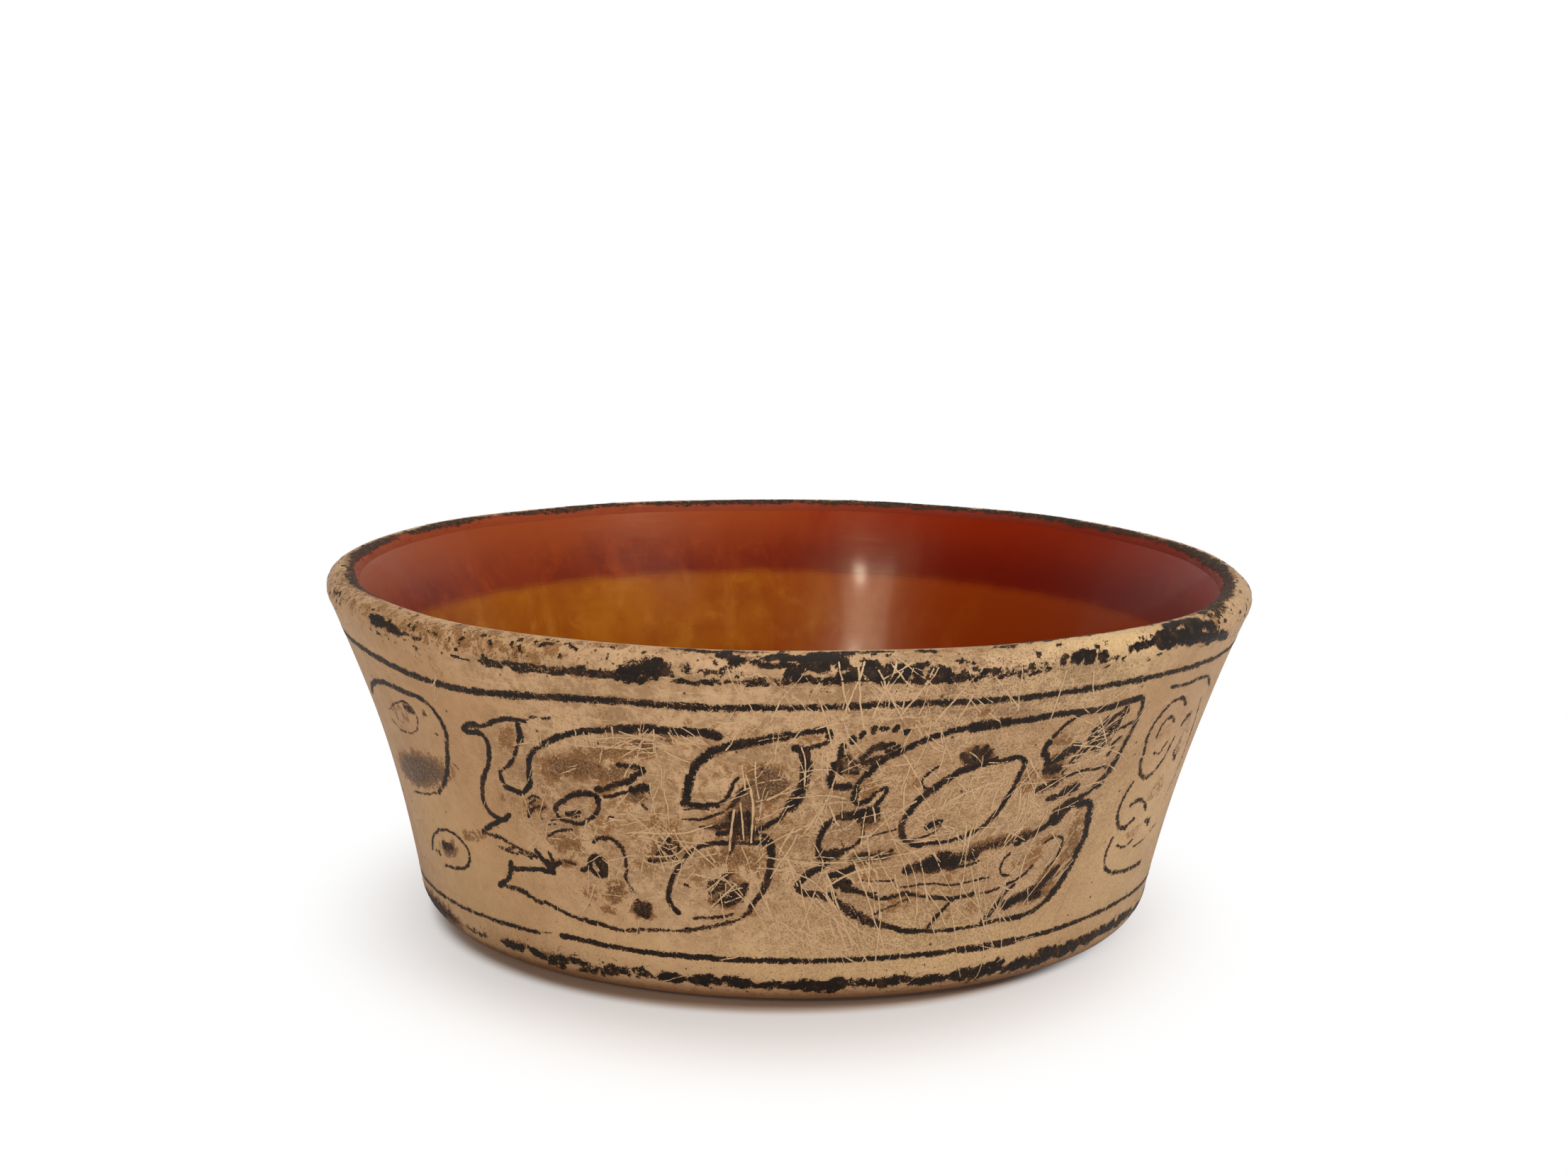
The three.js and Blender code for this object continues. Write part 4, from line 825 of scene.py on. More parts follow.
def brushed(name, strokes, film, seed, along=0.0, spread=STROKE_SPREAD, rough=0.14, wander=0.12):
    """Lays strokes on the wall as thin closed strips, each a hair higher than the one before."""
    random = np.random.default_rng(seed)
    points, faces, across, inks = [], [], [], []
    count = 0
    for number, (width, ink, *places) in enumerate(strokes):
        line = smooth_line(np.reshape(places, (-1, 2)) + (along, 0), STROKE_STEP)
        far = STROKE_STEP * np.arange(len(line))
        strays = [uneven(random, far, LINE_KNOTS, wander) for _ in range(2)]
        line = line + np.stack(strays, -1) - 1
        left, right, length = strip(width * spread, line, random, rough)
        from_front = np.abs((left[:, 0] + right[:, 0]) / 2 - along)
        ink = ink * (1 - SIDE_WEAR * smooth(SIDE_WEAR_FROM, SIDE_WEAR_TO, from_front))
        strength = ink * uneven(random, length, INK_KNOTS, INK_WANDER)
        lift = film + LAYER_LIFT * (number % LAYERS)
        points += [on_wall(left, lift), on_wall(right, lift)]
        size = len(left)
        across += [np.full(size, 1.0), np.full(size, -1.0)]
        inks += [strength, strength]
        faces += [(i + size, i + size + 1, i + 1, i) for i in range(count, count + size - 1)]
        count += 2 * size
    mesh = bpy.data.meshes.new(name)
    mesh.from_pydata((np.vstack(points) * MM).tolist(), [], faces)
    piece = bpy.data.objects.new(name, mesh)
    bpy.context.scene.collection.objects.link(piece)
    attribute(piece, "across", np.concatenate(across))
    attribute(piece, "ink", np.concatenate(inks))
    deselect()
    bpy.context.view_layer.objects.active = piece
    piece.select_set(True)
    body = piece.modifiers.new("Solidify", "SOLIDIFY")
    body.thickness = FILM_DEPTH * MM
    body.offset = -1
    bpy.ops.object.modifier_apply(modifier=body.name)
    reshape(piece)
    bpy.ops.object.shade_smooth_by_angle(angle=SMOOTH_ANGLE)
    return piece


# A ring of paint sinks this far into the slip.
RING_SINK = 0.01


def film_ring(name, face, steps, ink):
    """A film of paint all round, with ink(points) for how much of it is left at each point."""
    front, back = face(PAINT_FOOT + PAINT_FILM), face(SLIP_FACE - RING_SINK)
    piece = turned(name, coat_section(front, back[::len(back) - 1]), steps)
    attribute(piece, "ink", ink(reshape(piece)))
    return piece


# How many of the counted rootlet marks are made
ROOTLET_SHARE = 0.8
# Their widths and inks, the least share of the length, and the ends of the wall that stay clear
ROOT_WIDTHS, ROOT_INKS = (0.24, 0.42), (0.5, 0.95)
ROOT_SHORTEST = 0.6
ROOT_LOW, ROOT_HIGH = 2.5, BODY_HEIGHT - 0.4
# A mark's steps, how much it bends in a millimetre, and how far it strays at a step, in radians
ROOT_STEP, ROOT_BEND, ROOT_STRAY = 1.3, 0.035, 0.045


def rootlet_strokes(seed):
    """Thin wandering marks that fine roots left in the ground, in listed clusters."""
    random = np.random.default_rng(seed)
    strokes = []
    for x, z, spread_x, spread_z, direction, fan, count, shortest, longest in ROOTLETS:
        for _ in range(round(count * ROOTLET_SHARE)):
            place = np.array([random.normal(x, spread_x), random.normal(z, spread_z)])
            heading = math.radians(random.normal(direction, fan))
            length = random.uniform(shortest, longest) * random.uniform(ROOT_SHORTEST, 1)
            bend = random.normal(0, ROOT_BEND)
            steps = max(3, int(length / ROOT_STEP))
            step = length / steps
            place -= 0.5 * length * np.array([math.cos(heading), math.sin(heading)])
            path = []
            for _ in range(steps + 1):
                path += list(place)
                place = place + step * np.array([math.cos(heading), math.sin(heading)])
                heading += bend * length / steps + random.normal(0, ROOT_STRAY)
            if min(path[1::2]) < ROOT_LOW or max(path[1::2]) > ROOT_HIGH:
                continue
            strokes.append((random.uniform(*ROOT_WIDTHS), random.uniform(*ROOT_INKS), *path))
    return strokes


def srgb(red, green, blue):
    """A colour as it looks on a screen, 0 to 255, as the shader's own values."""
    def linear(value):
        value /= 255
        return value / 12.92 if value <= 0.04045 else ((value + 0.055) / 1.055) ** 2.4
    return linear(red), linear(green), linear(blue), 1.0


CREAM = srgb(174, 146, 114)
CREAM_PALE = srgb(190, 163, 129)
CREAM_LIGHT = srgb(171, 147, 117)
# Paler slip that also stands for painted light on the low sides
CREAM_CLEAN_LIT = srgb(196, 169, 126)
CREAM_TAN = srgb(158, 127, 93)
CREAM_DUSKY = srgb(122, 99, 75)
SPECK = srgb(84, 62, 44)
WASH = srgb(118, 83, 49)
WASH_DARK = srgb(52, 33, 21)
FOOT_BROWN_AND_SHADE = srgb(112, 76, 50)
ROOT_PALE = srgb(182, 154, 120)
BLACK = srgb(22, 16, 12)
BLACK_THIN = srgb(74, 51, 34)
CLAY = srgb(146, 102, 69)
CLAY_DARK = srgb(108, 73, 50)
CLAY_PALE = srgb(174, 136, 101)
RED = srgb(122, 44, 14)
RED_DEEP = srgb(98, 24, 5)
RED_BRIGHT = srgb(150, 60, 14)
# Tones of thicker slip below also paint the shade on the bowl's right side.
RED_THICK_SHADED = srgb(100, 15, 0)
RED_TOP = srgb(134, 57, 19)
RED_TOP_THICK_SHADED = srgb(122, 28, 0)
RED_LIP = srgb(122, 48, 15)
RED_LIP_THICK_SHADED = srgb(104, 26, 4)
ORANGE = srgb(155, 89, 8)
ORANGE_DEEP = srgb(136, 66, 2)
ORANGE_PALE = srgb(172, 112, 34)
ORANGE_THICK_SHADED = srgb(132, 48, 0)
WARM_SHEEN = (1.0, 0.9, 0.72, 1.0)
FLOOR_TONE = srgb(238, 230, 223)
# The browner tone of the shadow painted on the floor round the bowl
FLOOR_PAINTED_SHADOW = srgb(176, 156, 142)
WHITE = (1, 1, 1, 1)


class Recipe:
    """The nodes of one material or shared effect. Lengths that it takes are in millimetres."""

    def __init__(self, tree):
        self.tree = tree

    def node(self, kind, inputs=None, **settings):
        node = self.tree.nodes.new(kind)
        for name, value in settings.items():
            setattr(node, name, value)
        for name, value in (inputs or {}).items():
            self.feed(node.inputs[name], value)
        return node

    def feed(self, socket, value):
        if isinstance(value, bpy.types.NodeSocket):
            self.tree.links.new(value, socket)
        else:
            socket.default_value = value

    def place(self):
        return self.node("ShaderNodeTexCoord").outputs["Object"]

    def wall_place(self):
        """The place on the unrolled wall, in metres, from the piece's own map."""
        return self.node("ShaderNodeUVMap", uv_map="unrolled wall").outputs[0]

    def height(self):
        return self.node("ShaderNodeSeparateXYZ", {"Vector": self.place()}).outputs["Z"]

    def stretched(self, place, x, y, z):
        return self.node("ShaderNodeMapping", {"Vector": place, "Scale": (x, y, z)}).outputs[0]

    def read(self, name):
        return self.node("ShaderNodeAttribute", attribute_name=name).outputs["Fac"]

    def noise(self, place, size, detail=3.0, roughness=0.55, distortion=0.0):
        """A pattern with bumps of a size, or of the scale that a socket gives."""
        scale = 1 / (size * MM) if isinstance(size, (int, float)) else size
        inputs = {"Vector": place, "Scale": scale, "Detail": detail, "Roughness": roughness,
                  "Distortion": distortion}
        return self.node("ShaderNodeTexNoise", inputs).outputs[0]

    def rise(self, value, low, high, bottom=0.0, top=1.0):
        """From bottom to top as the value goes from low to high."""
        inputs = {"Value": value, "From Min": low, "From Max": high, "To Min": bottom,
                  "To Max": top}
        node = self.node("ShaderNodeMapRange", inputs, interpolation_type="SMOOTHSTEP")
        return node.outputs[0]

    def maths(self, operation, a, b=0.0):
        node = self.node("ShaderNodeMath", {0: a, 1: b}, operation=operation)
        return node.outputs[0]

    def times(self, a, b):
        return self.maths("MULTIPLY", a, b)

    def plus(self, a, b):
        return self.maths("ADD", a, b)

    def less(self, a, b):
        return self.maths("SUBTRACT", a, b)

    def part(self, value, amount):
        """A noise about its middle, times an amount."""
        return self.times(self.less(value, 0.5), amount)

    def vector(self, operation, a, b=(0, 0, 0)):
        return self.node("ShaderNodeVectorMath", {0: a, 1: b}, operation=operation).outputs

    def mixed(self, share, a, b):
        """The colour a, with a share of the colour b."""
        node = self.node("ShaderNodeMix", {0: share, 6: a, 7: b}, data_type="RGBA")
        return node.outputs[2]

    def shared(self, group, **inputs):
        node = self.node("ShaderNodeGroup", node_tree=group)
        for name, value in inputs.items():
            self.feed(node.inputs[name.replace("_", " ")], value)
        return node.outputs

    def two_tones(self, place, tone, other, broad, fine, share=0.5):
        """Two tones that drift into each other, with a broad and a fine scale of pattern."""
        return self.shared(TONE, Place=place, Tone=tone, Other_Tone=other, Broad_Scale=broad,
                           Fine_Scale=fine, Fine_Share=share)["Colour"]


def shared_effect(name, inputs, *outputs):
    """An empty node group with its sockets, each input with its kind and its default."""
    group = bpy.data.node_groups.new(name, "ShaderNodeTree")
    for label, (kind, default) in inputs.items():
        socket = group.interface.new_socket(label, in_out="INPUT", socket_type=kind)
        if default is not None:
            socket.default_value = default
    for label, kind in outputs:
        group.interface.new_socket(label, in_out="OUTPUT", socket_type=kind)
    recipe = Recipe(group)
    given = recipe.node("NodeGroupInput").outputs
    return group, recipe, given, recipe.node("NodeGroupOutput").inputs


FLOAT, COLOUR, VECTOR = "NodeSocketFloat", "NodeSocketColor", "NodeSocketVector"
PLACE = {"Place": (VECTOR, None)}


def uneven_tone():
    """Two tones that drift into each other over the surface, with finer mottling between them."""
    inputs = PLACE | {"Tone": (COLOUR, CREAM), "Other Tone": (COLOUR, CREAM_TAN),
                      "Broad Scale": (FLOAT, 30.0), "Fine Scale": (FLOAT, 220.0),
                      "Fine Share": (FLOAT, 0.5)}
    group, r, given, out = shared_effect("uneven tone", inputs, ("Colour", COLOUR))
    broad = r.noise(given["Place"], given["Broad Scale"], 3, 0.55, 0.4)
    fine = r.noise(given["Place"], given["Fine Scale"], 4, 0.65, 0.2)
    drift = r.plus(broad, r.times(r.part(fine, 1.0), given["Fine Share"]))
    tone = r.mixed(r.rise(drift, 0.3, 0.7), given["Tone"], given["Other Tone"])
    r.feed(out["Colour"], tone)
    return group


# Grain of the clay: patterns of its specks, of their clusters and of a slow drift, with their size,
# detail and roughness, then pits to the metre, and the share of those places that have one
GRAINS, CLUSTERS, DRIFT = (1 / 2.6, 2, 0.6), (130.0, 2, 0.5), (900.0, 3, 0.6)
PIT_SCALE = 420.0
PIT_CHANCE = (0.86, 0.9)


def clay_grain():
    """Dark specks of temper, a grainy height and a few pits."""
    outputs = ("Specks", FLOAT), ("Height", FLOAT), ("Pits", FLOAT)
    group, r, given, out = shared_effect("clay grain", PLACE, *outputs)
    grain, clusters, drift = (r.noise(given["Place"], *pattern)
                              for pattern in (GRAINS, CLUSTERS, DRIFT))
    r.feed(out["Specks"], r.rise(r.plus(grain, r.part(clusters, 0.7)), 0.56, 0.7))
    inputs = {"Vector": given["Place"], "Scale": PIT_SCALE, "Randomness": 1.0}
    cells = r.node("ShaderNodeTexVoronoi", inputs).outputs
    chance = r.node("ShaderNodeSeparateColor", {"Color": cells["Color"]}).outputs["Red"]
    hole = r.plus(r.rise(cells["Distance"], 0.08, 0.2, 1.0, 0.0), r.part(drift, 0.6))
    pits = r.times(r.rise(hole, 0.5, 0.8), r.rise(chance, *PIT_CHANCE))
    r.feed(out["Pits"], pits)
    height = r.plus(r.times(grain, 0.35), r.times(drift, 0.65))
    r.feed(out["Height"], r.less(height, r.times(pits, 1.2)))
    return group


# Hairlines: degrees from level, fineness, and where the pattern starts
HAIRLINE_WAYS = ((66, 1.0, 0.0), (-20, 1.2, 3.0), (112, 0.9, 7.0), (28, 1.1, 11.0))
# Their pattern to the metre along and across them, and how far they are bent, in metres
HAIRLINE_ALONG, HAIRLINE_ACROSS = 45.0, 1400.0
HAIRLINE_BEND = 0.0012


def hairlines():
    """A web of fine scratches that run four ways over the unrolled wall."""
    group, r, given, out = shared_effect("hairlines", PLACE, ("Lines", FLOAT))
    inputs = {"Vector": given["Place"], "Scale": 260.0, "Detail": 1.0}
    bent = r.node("ShaderNodeTexNoise", inputs).outputs["Color"]
    bent = r.vector("SUBTRACT", bent, (0.5,) * 3)[0]
    bent = r.vector("MULTIPLY", bent, (HAIRLINE_BEND,) * 3)[0]
    bent = r.vector("ADD", bent, given["Place"])[0]
    lines = 0.0
    for turn, fineness, start in HAIRLINE_WAYS:
        scale = (fineness * HAIRLINE_ALONG, fineness * HAIRLINE_ACROSS, 1.0)
        inputs = {"Vector": bent, "Rotation": (0, 0, math.radians(turn)), "Scale": scale,
                  "Location": (start, start, 0)}
        way = r.node("ShaderNodeMapping", inputs).outputs[0]
        inputs = {"Vector": way, "Scale": 1.0, "Detail": 2.0, "Roughness": 0.6}
        streak = r.node("ShaderNodeTexNoise", inputs).outputs[0]
        lines = r.maths("MAXIMUM", lines, r.rise(streak, 0.62, 0.7))
    r.feed(out["Lines"], lines)
    return group


# What breaks paint up: patterns of flakes, of dust and of rubbed places
FLAKES, PAINT_DUST, RUBBED = (1.0, 4, 0.75, 0.5), (0.3, 2, 0.6), (2.6, 5, 0.75, 0.4)


def brush_left():
    """How much of a paint is left: all in the middle of a stroke, less at its ragged edges."""
    inputs = PLACE | {"Across": (FLOAT, 0.0), "Ink": (FLOAT, 1.0), "Flaking": (FLOAT, 1.0),
                      "Wear": (FLOAT, 0.0), "Dusting": (FLOAT, 1.0)}
    outputs = ("Left", FLOAT), ("Body", FLOAT)
    group, r, given, out = shared_effect("brush left", inputs, *outputs)
    flakes, dust, rubbed = (r.noise(given["Place"], *pattern)
                            for pattern in (FLAKES, PAINT_DUST, RUBBED))
    edge = r.maths("POWER", r.maths("ABSOLUTE", given["Across"]), 1.8)
    body = r.plus(r.less(1.0, edge), r.times(r.less(given["Ink"], 1.0), 1.15))
    body = r.plus(body, r.times(r.part(flakes, 2.3), given["Flaking"]))
    body = r.plus(body, r.times(r.part(dust, 1.9), given["Dusting"]))
    body = r.less(body, r.times(r.rise(rubbed, 0.5, 0.62), given["Wear"]))
    r.feed(out["Body"], body)
    r.feed(out["Left"], r.rise(body, 0.23, 0.38))
    return group


def burnish():
    """Level streaks that a polishing pebble leaves round a wall, as tone and as height."""
    inputs = PLACE | {"Streak Scale": (FLOAT, 60.0)}
    outputs = ("Streaks", FLOAT), ("Height", FLOAT), ("Scuffs", FLOAT)
    group, r, given, out = shared_effect("burnish", inputs, *outputs)
    level = r.stretched(given["Place"], 1, 1, 9)
    streaks = r.noise(level, given["Streak Scale"], 4, 0.6, 0.2)
    drift = r.noise(level, 260.0, 3, 0.6)
    r.feed(out["Streaks"], r.plus(r.times(streaks, 0.6), r.times(drift, 0.4)))
    r.feed(out["Height"], r.plus(r.times(streaks, 0.85), r.times(drift, 0.15)))
    r.feed(out["Scuffs"], r.rise(r.noise(given["Place"], 700.0, 4, 0.7), 0.6, 0.72))
    return group


def new_material(name, **constants):
    """A material with its shader, whose constant values are set on the shader's own sockets."""
    material = bpy.data.materials.new(name)
    material.use_nodes = True
    shader = material.node_tree.nodes["Principled BSDF"]
    for socket, value in constants.items():
        shader.inputs[socket.replace("_", " ")].default_value = value
    return material, Recipe(material.node_tree), shader.inputs


def relief(r, shader, height, depth, strength):
    """Feeds a height of the given depth in millimetres to the shader's normal."""
    inputs = {"Height": height, "Distance": depth * MM, "Strength": strength}
    r.feed(shader["Normal"], r.node("ShaderNodeBump", inputs).outputs[0])


# Hands have dulled the slip from the lower of these heights, in metres, to the higher.
HANDLED = (0.016, 0.056)
# Patterns on the slip: size in millimetres, detail, roughness and distortion
BLOTCH, DUST, FAINT = (2.2, 5, 0.7, 0.5), (0.4, 3, 0.65), (4.2, 6, 0.78, 1.0)
# How much shows of each where the skin of the slip is whole, and where it is worn through
MOTTLED, SPECKED, SCRATCHED, FAINTLY_BROWN = (0.15, 0.72), (0.3, 0.7), (0.04, 0.4), (0.1, 0.36)
# How strongly blotches and dust break a wash up
BLOTCHY, DUSTY = 2.3, 0.9
# The brown of the foot, worn slip and painted shade where it meets the floor: its heights in
# metres, its shares there, and how far it wanders
FOOT_BROWNED_AND_SHADED = (1.6 * MM, 4.6 * MM, 0.85, 0.0)
FOOT_WANDER = 3 * MM


def cream_slip_finish():
    material, r, shader = new_material("cream slip", Specular_IOR_Level=0.13)
    place = r.place()
    stain, worn = r.read("stain"), r.read("worn")
    blotch, dust, faint = (r.noise(place, *pattern) for pattern in (BLOTCH, DUST, FAINT))
    grain = r.shared(GRAIN, Place=place)
    scratches = r.shared(HAIRLINES, Place=r.wall_place())["Lines"]

    tone = r.two_tones(place, CREAM, CREAM_TAN, broad=26.0, fine=190.0)
    tone = r.mixed(r.rise(r.height(), *HANDLED, 0.0, 0.4), tone, CREAM_TAN)
    # Painted light: paler, warmer slip low on the sides, where the slip has also stayed cleaner
    tone = r.mixed(r.times(r.read("clean and lit"), 0.55), tone, CREAM_CLEAN_LIT)
    mottled = r.two_tones(place, CREAM_DUSKY, CREAM_LIGHT, broad=120.0, fine=560.0, share=1.2)
    tone = r.mixed(r.rise(worn, 0.0, 1.0, *MOTTLED), tone, mottled)
    tone = r.mixed(r.times(grain["Specks"], r.rise(worn, 0.0, 1.0, *SPECKED)), tone, SPECK)
    tone = r.mixed(r.times(scratches, r.rise(worn, 0.1, 0.9, *SCRATCHED)), tone, ROOT_PALE)

    dusted = r.part(dust, DUSTY)
    edge = r.plus(stain, r.plus(r.part(blotch, BLOTCHY), dusted))
    wash = r.mixed(r.rise(r.plus(stain, dusted), 0.35, 1.0), WASH, WASH_DARK)
    share = r.times(r.rise(edge, 0.3, 0.54), r.rise(stain, 0.03, 0.36, 0.0, 0.94))
    share = r.times(share, r.rise(dust, 0.3, 0.6, 0.6, 1.0))
    tone = r.mixed(share, tone, wash)
    share = r.times(r.rise(faint, 0.53, 0.62), r.rise(worn, 0.0, 1.0, *FAINTLY_BROWN))
    tone = r.mixed(share, tone, WASH)
    tone = r.mixed(r.times(grain["Pits"], 0.85), tone, WASH_DARK)
    # The foot is painted browner towards the floor: worn slip, and painted shade where it meets the
    # floor
    foot = r.rise(r.plus(r.height(), r.part(blotch, FOOT_WANDER)), *FOOT_BROWNED_AND_SHADED)
    tone = r.mixed(foot, tone, FOOT_BROWN_AND_SHADE)
    # Painted shade: the red over the lip is darker towards the bowl's right, as is thicker slip
    # there
    red = r.mixed(r.read("thicker coat and shade"), RED_LIP, RED_LIP_THICK_SHADED)
    r.feed(shader["Base Color"], r.mixed(r.read("red reach"), tone, red))
    r.feed(shader["Roughness"], r.rise(blotch, 0.35, 0.7, 0.52, 0.68))
    height = r.plus(grain["Height"], r.times(blotch, 0.8))
    relief(r, shader, height, depth=0.14, strength=0.9)
    return material


def black_paint_finish(name, flaking, wear, dusting):
    material, r, shader = new_material(name, Specular_IOR_Level=0.14)
    place = r.place()
    left = r.shared(BRUSH, Place=place, Across=r.read("across"), Ink=r.read("ink"),
                    Flaking=flaking, Wear=wear, Dusting=dusting)
    tone = r.mixed(r.rise(left["Body"], 0.25, 0.7), BLACK_THIN, BLACK)
    thinner = r.rise(r.noise(place, 3.5, 4, 0.7), 0.52, 0.66, 0.0, 0.4)
    r.feed(shader["Base Color"], r.mixed(thinner, tone, BLACK_THIN))
    r.feed(shader["Alpha"], left["Left"])
    r.feed(shader["Roughness"], r.rise(left["Body"], 0.3, 1.2, 0.7, 0.55))
    relief(r, shader, r.shared(GRAIN, Place=place)["Height"], depth=0.08, strength=0.7)
    return material


def rootlet_finish():
    material, r, shader = new_material("rootlet marks", Roughness=0.7)
    place = r.place()
    left = r.shared(BRUSH, Place=place, Across=r.read("across"), Ink=r.read("ink"), Flaking=0.8,
                    Wear=0.4)
    r.feed(shader["Base Color"], r.mixed(r.noise(place, 1.5), CREAM_PALE, ROOT_PALE))
    r.feed(shader["Alpha"], r.times(left["Left"], 0.84))
    return material


# Patterns on the burnished coats: level smears, upright ones, glowing patches and shallow dents.
# The first two are stretched in height.
SMEARS, UPRIGHT = (11.0, 4, 0.65, 0.5), (8.0, 4, 0.6, 0.3)
SMEARS_TALL, UPRIGHT_TALL = 0.45, 0.3
GLOW, DENTS = (7.0, 3, 0.6, 0.4), (9.0, 2, 0.5)
# Roughness of the burnish in its streaks, and the clear sheen in the middle and at the dull ends
BURNISHED, CLEAR_SHEEN = (0.29, 0.34), (0.24, 0.06)


def burnished_finish(name, tones, thick_shaded, streak_scale, blends):
    """A coat rubbed smooth with a pebble. Each blend turns it to a tone between two heights."""
    material, r, shader = new_material(name, Specular_IOR_Level=0.26, Specular_Tint=WARM_SHEEN,
                                       Coat_Roughness=0.1)
    place = r.place()
    tone, other, bright = tones
    marks = r.shared(BURNISH, Place=place, Streak_Scale=streak_scale)
    smears = r.noise(r.stretched(place, 1, 1, SMEARS_TALL), *SMEARS)
    upright = r.noise(r.stretched(place, 1, 1, UPRIGHT_TALL), *UPRIGHT)
    glow = r.noise(place, *GLOW)
    colour = r.two_tones(place, tone, other, broad=30.0, fine=150.0)
    colour = r.mixed(r.rise(marks["Streaks"], 0.45, 0.7, 0.0, 0.35), colour, other)
    colour = r.mixed(r.rise(glow, 0.54, 0.74, 0.0, 0.5), colour, bright)
    colour = r.mixed(r.rise(upright, 0.5, 0.66, 0.0, 0.3), colour, bright)
    # Painted shade: the coat is darker towards the bowl's right, where it also lies thicker
    thickness = r.rise(r.plus(r.read("thicker coat and shade"), r.part(smears, 0.9)), 0.1, 0.9)
    colour = r.mixed(thickness, colour, thick_shaded)
    for low, high, to, thick_shaded_to, wander in blends:
        strays = r.plus(r.part(glow, wander * MM), r.part(smears, wander * MM))
        share = r.rise(r.plus(r.height(), strays), low * MM, high * MM)
        colour = r.mixed(share, colour, r.mixed(thickness, to, thick_shaded_to))
    colour = r.mixed(r.times(marks["Scuffs"], 0.08), colour, CREAM_PALE)
    r.feed(shader["Base Color"], colour)
    dull = r.read("dull")
    rough = r.plus(r.rise(marks["Streaks"], 0.3, 0.7, *BURNISHED), r.times(marks["Scuffs"], 0.15))
    r.feed(shader["Roughness"], r.plus(rough, r.times(dull, 0.16)))
    r.feed(shader["Coat Weight"], r.rise(dull, 0.0, 1.0, *CLEAR_SHEEN))
    height = r.plus(marks["Height"], r.times(r.noise(place, *DENTS), 2.0))
    relief(r, shader, height, depth=0.12, strength=0.5)
    return material


def bare_clay_finish():
    material, r, shader = new_material("bare clay", Roughness=0.86)
    place = r.place()
    tone = r.two_tones(place, CLAY, CLAY_DARK, broad=28.0, fine=200.0)
    pale = r.noise(place, 9.0, 4, 0.6, 0.3)
    tone = r.mixed(r.rise(pale, 0.5, 0.7, 0.0, 0.5), tone, CLAY_PALE)
    grain = r.shared(GRAIN, Place=place)
    tone = r.mixed(r.times(grain["Specks"], 0.4), tone, SPECK)
    tone = r.mixed(r.times(grain["Pits"], 0.85), tone, WASH_DARK)
    r.feed(shader["Base Color"], tone)
    relief(r, shader, grain["Height"], depth=0.22, strength=0.9)
    return material


TONE, GRAIN, BRUSH, BURNISH = uneven_tone(), clay_grain(), brush_left(), burnish()
HAIRLINES = hairlines()
CREAM_SLIP = cream_slip_finish()
BRUSHED_BLACK = black_paint_finish("brushed black paint", flaking=1.0, wear=0.3, dusting=1.15)
FLAKED_BLACK = black_paint_finish("flaked black paint", flaking=1.2, wear=0.3, dusting=0.9)
ROOTLET_MARKS = rootlet_finish()
# Heights between which the two coats of the inside run into each other, and the red turns paler
JOINT_LOW, JOINT_HIGH = RED_FOOT - 1.7, RED_FOOT + 1.5
PALER_FROM, PALER_TO = 60.5, 71.5
RED_SLIP = burnished_finish(
    "burnished red slip", (RED, RED_DEEP, RED_BRIGHT), RED_THICK_SHADED, 45.0,
    [(PALER_FROM, PALER_TO, RED_TOP, RED_TOP_THICK_SHADED, 4.0),
     (JOINT_HIGH, JOINT_LOW, ORANGE, ORANGE_THICK_SHADED, 1.6)])
ORANGE_SLIP = burnished_finish(
    "burnished orange slip", (ORANGE, ORANGE_DEEP, ORANGE_PALE), ORANGE_THICK_SHADED, 60.0,
    [(JOINT_LOW, JOINT_HIGH, RED, RED_THICK_SHADED, 1.6)])
BARE_CLAY = bare_clay_finish()


def dress(piece, slot, finish, *nodes):
    """Gives a piece its finish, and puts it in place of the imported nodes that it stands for."""
    piece.data.materials.append(finish)
    if nodes:
        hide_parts(*nodes)
    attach(piece, "root")


def joint(number):
    """Outer and inner height of the joint on top of a coil. Joint 0 is on the slab."""
    outer = SLAB_EDGE + number * COIL_HEIGHT
    return outer, FLOOR if number == 0 else outer + JOINT_RISE


# How finely pieces are drawn: steps round the bowl, then millimetres from point to point of their
# faces, and of the backs of the coats, which lie on clay
CLAY_STEPS, CLAY_STEP = 160, 1.6
COAT_STEPS, COAT_STEP, COAT_BACK_STEP = 700, 0.85, 9
INNER_STEPS, INNER_STEP, INNER_BACK_STEP = 420, 0.9, 5
FOOT_BAND_STEPS, FOOT_BAND_STEP = 1200, 0.45
LIP_BAND_STEPS, LIP_BAND_STEP = 1500, 0.4
SLAB_EDGE_STEP = 0.5
# Steps round the lip's section, for the clay, the coat, its back and the paint. The paint stops
# some steps short of the inside.
CLAY_LIP, COAT_LIP, COAT_BACK_LIP, BAND_LIP, BAND_SHORT = 16, 14, 6, 30, 2
# Rings of the slab's underside, of its floor and of the coat on it. The outermost ring of the
# underside stays clear of the foot.
UNDER_RINGS, FLOOR_RINGS, COAT_RINGS, RING_CLEAR = 14, 12, 16, 1
# The wall's faces stop this far below the half round of the lip.
BELOW_LIP, COAT_BELOW_LIP = 0.3, 0.5


def clay_piece(name, section, node):
    piece = turned(name, section, CLAY_STEPS)
    reshape(piece)
    dress(piece, "clay", BARE_CLAY, node)


